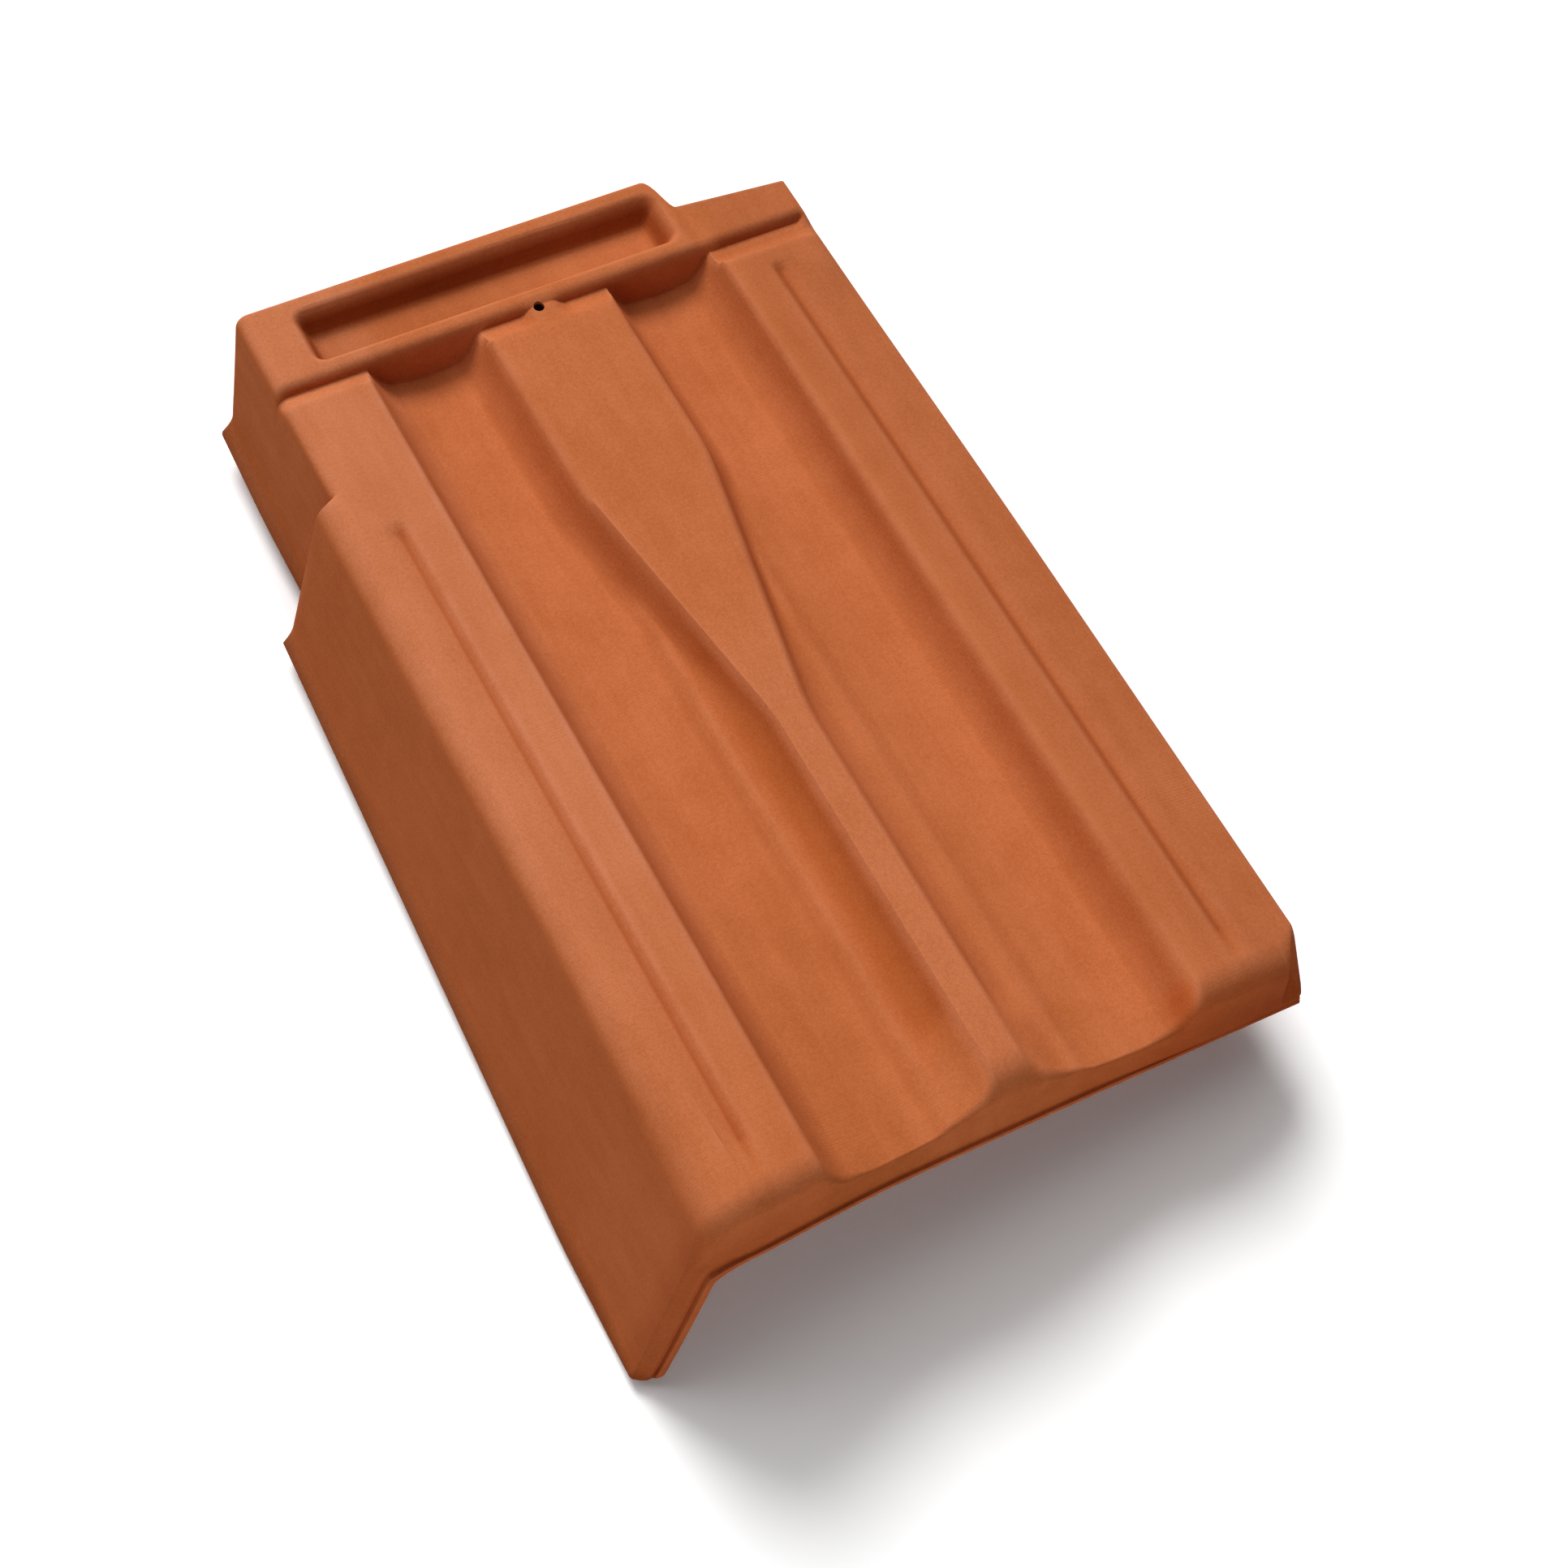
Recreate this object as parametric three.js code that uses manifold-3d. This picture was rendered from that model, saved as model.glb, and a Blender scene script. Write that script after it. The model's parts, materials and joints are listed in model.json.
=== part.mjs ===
// Left-hand verge tile: a double-trough interlocking roof tile pressed and fired in one piece.
// Millimetres. The tile is shaped in its own frame: X to the right, Y from the nose up to the
// head, Z square to the flat tops, with the centre of the rib's nose end at the origin.
// It is then tipped over onto the level floor that it rests on when it lies unheld.
import * as THREE from 'three';
import { mergeVertices } from 'three/addons/utils/BufferGeometryUtils.js';
import { ConvexHull } from 'three/addons/math/ConvexHull.js';
import Module from 'manifold-3d';

const wasm = await Module();
wasm.setup();

// ---- Overall ----
const headBack = 436.3; // nose edge to the back of the head block
const leftCorner = 123; // rib centre to the sharp corner of deck and flap
const rightCorner = 129; // rib centre to the sharp corner of deck and skirt, at the nose
const rightCornerHead = 127.4; // the same at the head, where the deck is a little narrower
const rightCornerLedge = 124.8; // and on the ledge beside the head block
const narrowStart = 200; // the deck starts to narrow here
const narrowRun = 200;
const wall = 11.5; // clay thickness
const noseDepth = 38.2; // flat tops to the nose's lower edge
const noseArch = 1.5; // rise of that edge between its ends

// ---- Verge flap ----
const flapDepth = 124; // flat tops to the flap's lower edge, at the nose
const flapRise = 0.1155; // climb of that edge for each millimetre up the tile
const flapLean = THREE.MathUtils.degToRad(10.5);
const flapShoulder = 12; // radius along the flap's top edge
const flapShoulderNose = 20; // the same radius where it swells towards the nose
const swellStart = 110;
const swellRun = 95;
const lipOut = 3.4; // the flap's lower edge flares out to this lip
const lipOutNose = 1.4; // the same at the nose, where the lip dies away
const lipOutSetback = 4.6; // and along the set-back, where it grows over this length
const lipGrowth = 60;
const lipFadeEnd = 70; // from here on the lip has its full size
const lipFadeRun = 60;
const lipThick = 1.6;
const lipFlare = 9; // height over which the flap flares out to its lip

// ---- Set-back that the next tile's flap laps over ----
const setbackStart = headBack - 100.3;
const setbackRun = 2; // length of the step from the flap to the set-back
const insideLead = 20; // the inner face makes the step this much nearer the nose
const insideRun = 14;
const setbackCorner = 117;
const setbackLean = THREE.MathUtils.degToRad(4.8);
const setbackShoulder = 5.5;
const setbackRise = 5.5; // its lower edge stays this far above the flap's

// ---- Right cover roll and skirt ----
const rollRadius = 12;
const rollRadiusLedge = 3; // the roll is this tight on the ledge
const rollTighten = 8; // length over which it tightens, before the head rib's crest
const skirtLean = THREE.MathUtils.degToRad(1);
const skirtDepth = 33;

// ---- Troughs and bands ----
const bandEdge = 80.8; // rib centre to the inner edge of each flat band
const bandFoot = 65;
const troughDepth = 18;
const troughCentre = 50;
const troughDish = 1.6;
const grooveAt = 99.8; // deepest line of the groove between the inner and the outer band
const grooveRise = 4; // its steep side, up to the inner band
const grooveFall = 11; // its gentle side, out to the edge of the deck
const grooveDepth = 2.8;
const grooveNoseEnd = 11;
const grooveFade = 10; // length over which it fades in from the nose end
const grooveHook = 5; // and over which it ends at the head
const grooveLeftHead = setbackStart - 20;

// ---- Rib, plate and scoops ----
const ribHalf = 6.9;
const plateHalf = 26.5;
const taperStart = 181; // the rib starts to widen here
const taperLength = 121;
const ribRun = 13; // how far the side of rib or plate spreads on its way down
const ridgeAt = 24.4; // foot ridge along each side of the rib
const ridgeDrop = 11;
const ridgeRun = 9.5;
const scoopDip = 3; // depth of the scoop beside the rib, below the ridge's top
const scoopEnd = 30; // the scoop runs out here into a plain slope down from the rib
const scoopFade = 30;
const scoopNoseDrop = 4.5; // top of that slope, below the flat tops

// ---- Head ----
const pocketBack = headBack - 5.8;
const pocketFront = pocketBack - 28.5;
const headFront = pocketFront - 2.3; // crest of the round bead in front of the pocket
const beadRadius = 4.5;
const beadFoot = headFront - beadRadius;
const beadSlope = 8; // rise of the head rib's front for each millimetre back
const beadFillet = 0.8;
const valleyFront = headFront - 14.7;
const valleyRun = 11;
const valleyDepth = 4.4;
const headTop = 1.5; // the head block stands this far above the flat tops
const ledgeTop = -0.5;
const ledgeBack = headBack - 17.6; // back edge of the ledge, at its middle
const ledgeMiddle = 100;
const ledgeSkew = 0.09; // that edge comes forward by this for each millimetre to the right
const blockEnd = 72.6; // right end of the head block
const blockEndEase = 3.4;
const blockCorner = 66.4; // its back edge starts to turn forward to the ledge here
const blockCornerRun = 8;
const pocketLeft = -97.5;
const pocketRight = 69.3;
const pocketDepth = 12;
const pocketRun = 9; // how far the pocket's walls spread on their way down
const pocketCorner = 7;
const underRun = 8; // length of the slope under the head rib
const backRound = 2;
const backRoundFlap = 1.5;
const backSkew = 0.014; // bead, pocket and back edge stand back this much for each millimetre right
const levelFade = 25; // depth at which valley and head rib have died away down the edges
const grooveRightHead = valleyFront - 8;

// ---- Nose ----
const noseRunLeft = 16.2; // how far behind its lower edge the nose starts to turn down
const noseRunRight = 13.2;
const noseRunTrough = 4.5;
const noseRunFlap = 7.5;
const noseRunCorner = 21;
const noseRunFoot = 6; // at the skirt's foot
const noseCornerStart = 108;
const noseCornerRadius = 6; // largest round down the corner of nose and skirt
const noseStepRun = 9; // the nose steps forward over this width beside rib and bands
const noseStepShare = 0.72; // share of the way it steps; the rest is a sweep over the wall
const noseSweepRib = 20;
const noseSweepBand = 15;
const noseStepRib = 1.9; // the step starts this far inside the rib's edge
const noseStepBand = 1.2; // and this far inside the band's
const noseFillet = 5; // where the front face meets the lip
const noseFilletOut = 0.15; // how far the fillet reaches out, as a share of its height
const noseLipOut = 1.5;
const noseLipLeast = 0.3;
const noseLipEnd = 95; // the lip has died away here
const noseLipFade = 65;
const noseLipThick = 2.4;
const flapLipThick = 5;
const noseFront = -0.5;
const noseBow = 3; // the nose's lower edge bows forward to the flap by this
const noseBowStart = 40;
const noseThick = 10; // thickness of the downturned nose at its foot
const flapEndThin = 1.8; // the flap's front edge is this much thinner than its wall
const tipRound = 6; // round at the flap's lowest corner

// ---- Nail hole and batten nibs ----
const nailX = -1.8;
const nailY = headFront - 7.2;
const nailDiameter = 4.6;
const landLeft = -6.8; // the valley stops at this land, left and right of the nail hole
const landRight = 7.2;
const landEase = 3; // its ends flare out by this
const landTop = -0.3;
const landDepth = 8;
const nibX = 50;
const nibWidth = 30;
const nibFront = headFront - 7.7;
const nibRoot = 6; // fillet where the nib's front meets the underside
const nibSunk = 2.1; // the fillet starts this far inside the clay
const nibFoot = 13; // thickness at the foot
const nibDraft = 5;
const nibDepth = 46; // flat tops to the foot of the nib

const steps = (from, to, count) =>
  Array.from({ length: count }, (_, i) => from + ((to - from) * i) / (count - 1));
const clamp01 = (t) => Math.min(1, Math.max(0, t));
const ease = (t) => {
  const s = clamp01(t);
  return s * s * (3 - 2 * s);
};
const mix = (a, b, t) => a + (b - a) * t;

// Straight ramp from 0 to 1 with a fillet at its foot and a tighter round at its crest.
function ramp(t, foot = 0.5, crest = 0.2) {
  const s = clamp01(t);
  const slope = 1 / (1 - (foot + crest) / 2);
  if (s < foot) return (slope * s * s) / (2 * foot);
  if (s > 1 - crest) return 1 - (slope * (1 - s) ** 2) / (2 * crest);
  return slope * (s - foot / 2);
}

// Higher of two levels, with a fillet where they cross.
function blendMax(a, b, fillet) {
  const h = Math.max(0, fillet - Math.abs(a - b)) / fillet;
  return Math.max(a, b) + (h * h * fillet) / 4;
}

// Half width of the rib, which widens by straight tapers into the plate.
function ribHalfAt(y) {
  const t = (y - taperStart) / taperLength;
  return mix(ribHalf, plateHalf, ramp(t, 0.12, 0.16));
}

// Trough, bands, rib and plate. Shift moves the walls towards the solid side, for the underside.
function ribbing(x, y, shift) {
  const across = Math.abs(x);
  const dish = ((across - troughCentre) / (bandFoot - troughCentre)) ** 2;
  const floor = -troughDepth + troughDish * Math.min(1, dish);
  const bandRise = ramp((across - bandFoot - shift) / (bandEdge - bandFoot), 0.68, 0.12);
  if (across > troughCentre) return mix(floor, 0, bandRise);
  const half = ribHalfAt(y) - shift;
  const plateShare = shift > 0 ? ease((half + shift - ribHalf) / (plateHalf - ribHalf)) : 1;
  const ribTop = mix(-ridgeDrop, 0, plateShare);
  const rib = mix(floor, ribTop, ramp((half + ribRun - across) / ribRun, 0.6, 0.1));
  const out = clamp01((across - ribHalf) / (ridgeAt - ribHalf));
  const scooped = -ridgeDrop - (shift > 0 ? 0 : scoopDip * (1 - out ** 2));
  const sloped = -mix(scoopNoseDrop, ridgeDrop, out);
  const ridgeTop = mix(sloped, scooped, ease((y - scoopEnd) / scoopFade + 0.5));
  const ridge = mix(floor, ridgeTop, ramp((ridgeAt - shift + ridgeRun - across) / ridgeRun, 0.55, 0.3));
  return blendMax(rib, ridge, 1.6);
}

// Groove between the inner and outer band of each side: steep inside, gentle outside.
function groove(x, y) {
  const headEnd = x < 0 ? grooveLeftHead : grooveRightHead;
  const along = ease((y - grooveNoseEnd) / grooveFade) * ease((headEnd - y) / grooveHook);
  const out = Math.abs(x) - grooveAt;
  const across = out < 0 ? ease(1 + out / grooveRise) : (1 - clamp01(out / grooveFall)) ** 2;
  return -grooveDepth * along * across;
}

// How deep a point lies inside the pocket's outline, which has rounded corners.
function pocketInset(x, y) {
  const halfX = (pocketRight - pocketLeft) / 2;
  const halfY = (pocketBack - pocketFront) / 2;
  const dx = Math.abs(x - (pocketLeft + pocketRight) / 2) - (halfX - pocketCorner);
  const dy = Math.abs(y - (pocketFront + pocketBack) / 2) - (halfY - pocketCorner);
  const outside = Math.hypot(Math.max(dx, 0), Math.max(dy, 0));
  return pocketCorner - outside - Math.min(Math.max(dx, dy), 0);
}

const blockShare = (x) => 1 - ease((x - blockEnd) / (2 * blockEndEase) + 0.5);

// Deck with the transverse valley in front of the head rib.
function deckBeforeHead(deck, y) {
  return Math.min(deck, -valleyDepth * ramp((y - valleyFront) / valleyRun, 0.12, 0.1));
}

// Head rib with its round bead, the block's pocket behind it, and the lower ledge to its right.
function head(deck, x, y) {
  const share = blockShare(x);
  const top = mix(ledgeTop, headTop, share);
  const before = headFront + backSkew * x - y;
  const onBead = Math.min(beadRadius, Math.max(0, before));
  const bead = beadRadius - Math.sqrt(beadRadius ** 2 - onBead ** 2);
  const wallLevel = top - bead - beadSlope * Math.max(0, before - beadRadius);
  const ribbed = blendMax(deckBeforeHead(deck, y), wallLevel, beadFillet);
  if (before > 0) return ribbed;
  const pocket = pocketDepth * ramp(pocketInset(x, y - backSkew * x) / pocketRun, 0.3, 0.3);
  return Math.min(ribbed, mix(ribbed, headTop - pocket, share));
}

function topLevel(x, y) {
  const deck = ribbing(x, y, 0) + groove(x, y);
  return y < valleyFront ? deck : head(deck, x, y);
}

// The underside follows the deck, then slopes to one level under the pocket; the head rib is solid.
const wallShift = wall / 2; // the underside's walls stand back by this, to keep the clay's thickness
function undersideLevel(x, y) {
  const deck = ribbing(x, y, wallShift);
  if (y < valleyFront) return deck - wall;
  const under = mix(ledgeTop, headTop - pocketDepth, blockShare(x));
  const past = ramp((y - headFront + underRun) / underRun, 0.3, 0.3);
  return mix(deckBeforeHead(deck, y), under, past) - wall;
}

// ---- Sections ----
// A section is a row of points from the flap's lower edge, over the deck, to the skirt's.
// Each outer point has its outward normal and its partner on the inner face.

// Back edge of the tile: of the head block, and of the ledge to its right.
function backAt(x) {
  const step = ramp((x - blockCorner) / blockCornerRun, 0.6, 0.4);
  return mix(headBack + backSkew * x, ledgeBack - ledgeSkew * (x - ledgeMiddle), step);
}

// A row runs straight across the deck, and along the bead and the back edge in the head.
function rowAt(yRow, x) {
  const share = clamp01((yRow - valleyFront) / (beadFoot - valleyFront));
  if (yRow <= headFront) return yRow + backSkew * x * share;
  return mix(headFront + backSkew * x, backAt(x), (yRow - headFront) / (headBack - headFront));
}

function shoulder(corner, lean, radius) {
  const tangent = radius * Math.tan((Math.PI / 2 - lean) / 2);
  return { corner, lean, radius, start: corner - tangent };
}

// Shape of the left edge: the flap, or the set-back beyond the step.
function leftEdge(y, stepAt, stepRun) {
  const t = clamp01((y - stepAt) / stepRun);
  const swell = ease((swellStart - y) / swellRun);
  const radius = mix(mix(flapShoulder, flapShoulderNose, swell), setbackShoulder, t);
  const edge = shoulder(mix(leftCorner, setbackCorner, t), mix(flapLean, setbackLean, t), radius);
  edge.bottom = -flapDepth + flapRise * y + setbackRise * t;
  return edge;
}

const noseCornerZ = -46; // below this level the flap's front edge runs straight down
const arcCount = 6;
const rollCount = 5;

// Places across the deck, measured from the rib's centre, where the section bends.
function deckPlaces(y) {
  const half = ribHalfAt(y);
  const foot = half + ribRun;
  const ridge = Math.max(ridgeAt, foot + 0.5);
  const ridgeFoot = Math.max(ridgeAt + ridgeRun, ridge + 1.5);
  return [
    ...[0, 0.07, 0.4, 0.65, 1].map((t) => mix(half, foot, t)),
    ...[0, 0.35, 0.65, 1].map((t) => mix(ridge, ridgeFoot, t)),
    troughCentre,
    ...[0, 0.25, 0.46, 0.68, 0.88, 0.94, 1].map((t) => mix(bandFoot, bandEdge, t)),
    mix(bandEdge, grooveAt - grooveRise, 0.5),
    ...[-grooveRise, -grooveRise / 2, 0, grooveFall / 4, grooveFall / 2].map((step) => grooveAt + step),
  ];
}

function sectionAt(yRow) {
  const outer = [];
  const inner = [];
  const add = (point, normal, partner, kind) => {
    outer.push({ x: point[0], z: point[1], nx: normal[0], nz: normal[1], y: yRow, kind });
    inner.push({ x: partner[0], z: partner[1], y: yRow, kind });
  };
  const edge = leftEdge(yRow, setbackStart, setbackRun);
  const inside = leftEdge(yRow, setbackStart - insideLead, insideRun);
  const faceX = (e, z) => -e.corner + z * Math.tan(e.lean);
  const innerX = (z) => Math.max(faceX(inside, z), faceX(edge, z)) + wall / Math.cos(edge.lean);
  const faceNormal = [-Math.cos(edge.lean), Math.sin(edge.lean)];
  // lip and flap face
  const lipBefore = mix(lipOutNose, lipOut, 1 - ease((lipFadeEnd - yRow) / lipFadeRun));
  const lip = mix(lipBefore, lipOutSetback, ease((yRow - setbackStart) / lipGrowth));
  const outAndUp = [
    [lip - 0.8, 0],
    [lip, lipThick],
    [lip * 0.25, lipThick + lipFlare * 0.5],
    [0, lipThick + lipFlare],
  ];
  for (const [out, up] of outAndUp) {
    const z = edge.bottom + up;
    add([faceX(edge, z) - out, z], faceNormal, [innerX(z), z], 'flap');
  }
  for (const share of [0.5, 1]) {
    const z = mix(edge.bottom + lipThick + lipFlare, noseCornerZ, share);
    add([faceX(edge, z), z], faceNormal, [innerX(z), z], 'flap');
  }
  // shoulder
  const arcTop = -edge.radius * (1 - Math.sin(edge.lean));
  const between = mix(noseCornerZ, arcTop, 0.5);
  add([faceX(edge, between), between], faceNormal, [innerX(between), between], 'corner');
  for (const turn of steps(edge.lean, Math.PI / 2, arcCount)) {
    const normal = [-Math.cos(turn), Math.sin(turn)];
    const reach = [edge.radius * normal[0] - edge.start, edge.radius * (normal[1] - 1)];
    const depth = [reach[0] - wall * normal[0], reach[1] - wall * normal[1]];
    const partner = [Math.max(depth[0], innerX(depth[1])), Math.min(depth[1], -wall)];
    add(reach, normal, partner, 'corner');
  }
  // deck
  const places = deckPlaces(yRow);
  const left = places.map((p) => -p).reverse().filter((x) => x > -edge.start + 1.5);
  const missing = places.length - left.length;
  const fill = steps(-edge.start, left[0], missing + 2).slice(1, -1);
  const narrow = mix(rightCorner, rightCornerHead, ease((yRow - narrowStart) / narrowRun));
  const onLedge = ease((yRow - headFront + rollTighten) / rollTighten);
  const right = mix(narrow, rightCornerLedge, onLedge);
  const roll = shoulder(right, skirtLean, mix(rollRadius, rollRadiusLedge, onLedge));
  const deckX = [...(missing > 0 ? fill : []), ...left, 0, ...places];
  for (const x of deckX) {
    add([x, 0], [0, 1], [x, 0], 'deck');
  }
  // roll and skirt
  for (let i = 0; i < rollCount; i += 1) {
    const turn = mix(Math.PI / 2, skirtLean, i / (rollCount - 1));
    const normal = [Math.cos(turn), Math.sin(turn)];
    const reach = [roll.start + roll.radius * normal[0], roll.radius * (normal[1] - 1)];
    const partner = [reach[0] - wall * normal[0], Math.min(reach[1] - wall * normal[1], -wall)];
    add(reach, normal, partner, 'roll');
  }
  const skirtTop = -roll.radius * (1 - Math.sin(skirtLean));
  for (const share of [0.5, 1]) {
    const z = mix(skirtTop, -skirtDepth, share);
    const x = right - z * Math.tan(skirtLean);
    add([x, z], [Math.cos(skirtLean), Math.sin(skirtLean)], [x - wall, Math.min(z, -wall)], 'roll');
  }
  for (const point of [...outer, ...inner]) {
    point.y = rowAt(yRow, point.x);
  }
  for (const point of outer) {
    if (point.kind === 'deck') point.z = topLevel(point.x, point.y);
  }
  for (const point of inner) {
    if (point.kind === 'deck') point.z = undersideLevel(point.x, point.y);
  }
  // valley and head levels carry on over the shoulder and the roll
  for (const point of outer) {
    if (point.kind !== 'deck' && point.kind !== 'flap' && point.y > valleyFront) {
      const inboard = ease((right - point.x) / (right - roll.start));
      point.z += topLevel(point.x, point.y) * ease(1 + point.z / levelFade) * inboard;
    }
  }
  return { outer, inner };
}

// ---- Nose ----
// Forward place and level of the nose's lower edge.
const noseFoot = (x) => ({
  x,
  y: noseFront - noseBow * ease((-x - noseBowStart) / (leftCorner - noseBowStart)),
  z: -noseDepth + noseArch * (1 - (x / leftCorner) ** 2),
});

// Where each line of the section ends, on the nose's lower edge and the flap's front edge.
function noseEnds(section) {
  const kinds = section.outer.map((p) => p.kind);
  const corner = kinds.indexOf('corner');
  const deck = kinds.indexOf('deck');
  const roll = kinds.indexOf('roll');
  const flapFront = section.inner[corner - 1].x - flapEndThin;
  const skirtFoot = rightCorner + skirtDepth * Math.tan(skirtLean) - 1;
  return section.outer.map((p, i) => {
    if (p.kind === 'flap') return { ...noseFoot(section.inner[i].x - flapEndThin), z: p.z };
    if (p.kind === 'corner') {
      const t = ((i - corner + 1) / (deck - corner + 1)) * (Math.PI / 2);
      const foot = noseFoot(mix(flapFront, section.outer[deck].x, 1 - Math.cos(t)));
      return { ...foot, z: mix(noseCornerZ, foot.z, Math.sin(t)) };
    }
    if (p.kind === 'roll') {
      const t = (i - roll) / (kinds.length - 1 - roll);
      return noseFoot(mix(section.outer[roll].x, skirtFoot, t));
    }
    return noseFoot(p.x);
  });
}

// How far behind the nose's lower edge a line of the section starts to turn down.
function noseRun(p, cornerShare) {
  if (p.kind === 'flap') return noseRunFlap;
  if (p.kind === 'corner') return mix(noseRunFlap, noseRunLeft, ease(cornerShare));
  const across = Math.abs(p.x);
  const [past, sweep] =
    across > troughCentre
      ? [bandEdge + noseStepBand - across, noseSweepBand]
      : [across - ribHalf + noseStepRib, noseSweepRib];
  const low = mix(clamp01((past - noseStepRun) / sweep), ease(past / noseStepRun), noseStepShare);
  const tops = mix(noseRunRight, noseRunLeft, clamp01(-p.x / bandEdge));
  const beyond = ease((p.x - noseCornerStart) / (rightCorner - noseCornerStart));
  const run = mix(mix(tops, noseRunTrough, low), noseRunCorner, beyond);
  return p.kind === 'roll' ? mix(run, noseRunFoot, clamp01(-p.z / skirtDepth)) : run;
}

// Points down a line of the nose, as depth below its top and distance behind its lower edge.
// The line turns down on a round, drops straight and meets the lip's top in a fillet.
function noseProfile(depth, run, lipOutHere, mostRound) {
  const fillet = Math.min(noseFillet, 0.35 * depth);
  const foot = lipOutHere + noseFilletOut * fillet;
  const round = Math.min(0.9 * (run - foot), 0.6 * (depth - fillet), mostRound);
  const reach = round - (depth - fillet);
  const tangent = Math.acos(Math.min(1, round / Math.hypot(reach, run - foot)));
  const end = Math.atan2(run - foot, reach) - tangent;
  const points = steps(0, end, 4).map((turn) => [round * (1 - Math.cos(turn)), run - round * Math.sin(turn)]);
  for (const turn of steps(0, Math.PI / 2, 3)) {
    const below = depth - fillet * (1 - Math.sin(turn));
    points.push([below, foot - noseFilletOut * fillet * (1 - Math.cos(turn))]);
  }
  return points;
}

// Rounds off the corner between the flap's lower edge and its front edge.
function roundTip(row, bottom) {
  for (const p of row) {
    if (p.kind !== 'flap') continue;
    const near = clamp01(1 - (p.y + noseBow) / tipRound);
    const lift = tipRound * (1 - Math.sqrt(1 - near ** 2));
    p.z += lift * ((noseCornerZ - p.z) / (noseCornerZ - bottom)) ** 2;
  }
  return row;
}

const nearest = 25; // rows of the nose start from the section here

function noseRows() {
  const section = sectionAt(nearest);
  const ends = noseEnds(section);
  const cornerFirst = section.outer.findIndex((p) => p.kind === 'corner');
  const cornerCount = section.outer.filter((p) => p.kind === 'corner').length;
  const lines = section.outer.map((p, i) => {
    const end = ends[i];
    const cornerShare = clamp01((i - cornerFirst) / (cornerCount - 1));
    const run = noseRun(p, cornerShare);
    // the line leaves the surface square to it, and bends at this depth towards its end
    const turn = Math.min(0.5 * run, 0.3 * Math.hypot(end.x - p.x, end.z - p.z));
    const bend = { x: p.x - p.nx * turn, z: p.z - p.nz * turn };
    const reach = Math.hypot(end.x - bend.x, end.z - bend.z);
    const lipShare = Math.min(0.5, mix(flapLipThick, noseLipThick, cornerShare) / reach);
    const lipOutHere = noseLipLeast + noseLipOut * ease((noseLipEnd - p.x) / noseLipFade);
    const depth = turn + reach * (1 - lipShare);
    const mostRound = p.kind === 'roll' ? noseCornerRadius : Infinity;
    const line = noseProfile(depth, run, lipOutHere, mostRound).map(([below, back]) => {
      const y = end.y + back;
      const square = Math.min(below, turn);
      const onwards = Math.max(0, below - turn) / reach;
      const change = p.kind === 'deck' ? topLevel(p.x, y) - p.z : 0;
      return {
        x: mix(p.x - p.nx * square, end.x, onwards),
        y,
        z: mix(p.z - p.nz * square, end.z, onwards) + change * (1 - below / depth),
      };
    });
    for (const [share, out] of [[1, noseLipLeast], [0.6, 0], [0, noseLipLeast]]) {
      const part = lipShare * share;
      line.push({ x: mix(end.x, bend.x, part), y: end.y + out, z: mix(end.z, bend.z, part) });
    }
    return line.map((point) => ({ ...point, kind: p.kind }));
  });
  const bottom = section.outer[0].z;
  const outer = lines[0].map((_, row) => roundTip(lines.map((line) => line[row]), bottom));
  const inner = steps(0, 1, outer.length + 1).slice(1).map((t) => {
    const row = section.inner.map((p, i) => ({
      x: mix(p.x, ends[i].x, ease(t)),
      y: mix(nearest, noseThick + ends[i].y, t),
      z: mix(p.z, ends[i].z, ramp(t, 0.3, 0.1)),
      kind: p.kind,
    }));
    return roundTip(row, bottom);
  });
  return { outer, inner };
}

// ---- Head end ----
function backRows() {
  const section = sectionAt(headBack);
  const turns = [45, 90].map((a) => THREE.MathUtils.degToRad(a));
  const stepBack = (turn) => backRound * (1 - Math.sin(turn));
  const outer = turns.map((turn) =>
    section.outer.map((p) => {
      const sink = (p.kind === 'flap' ? backRoundFlap : backRound) * (1 - Math.cos(turn));
      return { x: p.x - p.nx * sink, y: p.y - stepBack(turn), z: p.z - p.nz * sink };
    }),
  );
  const inner = turns.map((turn) =>
    section.inner.map((p) => ({ x: p.x, y: p.y - stepBack(turn), z: p.z })),
  );
  return { outer, inner };
}

const pocketRows = [0.3, 0.7, 1].map((t) => t * pocketRun);
const rowPlaces = [
  nearest, 35, scoopEnd + scoopFade / 2, 60, 90, 120,
  ...[0, 0.12, 0.24, 0.59, 0.84, 0.92, 1].map((t) => taperStart + taperLength * t),
  grooveLeftHead, setbackStart, setbackStart + setbackRun, grooveRightHead,
  valleyFront, valleyFront + 1.3, beadFoot - 2, beadFoot,
  ...[0.866, 0.5, 0].map((t) => headFront - beadRadius * t), pocketFront,
  ...pocketRows.map((step) => pocketFront + step),
  ...pocketRows.map((step) => pocketBack - step).reverse(), pocketBack, headBack - backRound,
];

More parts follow.
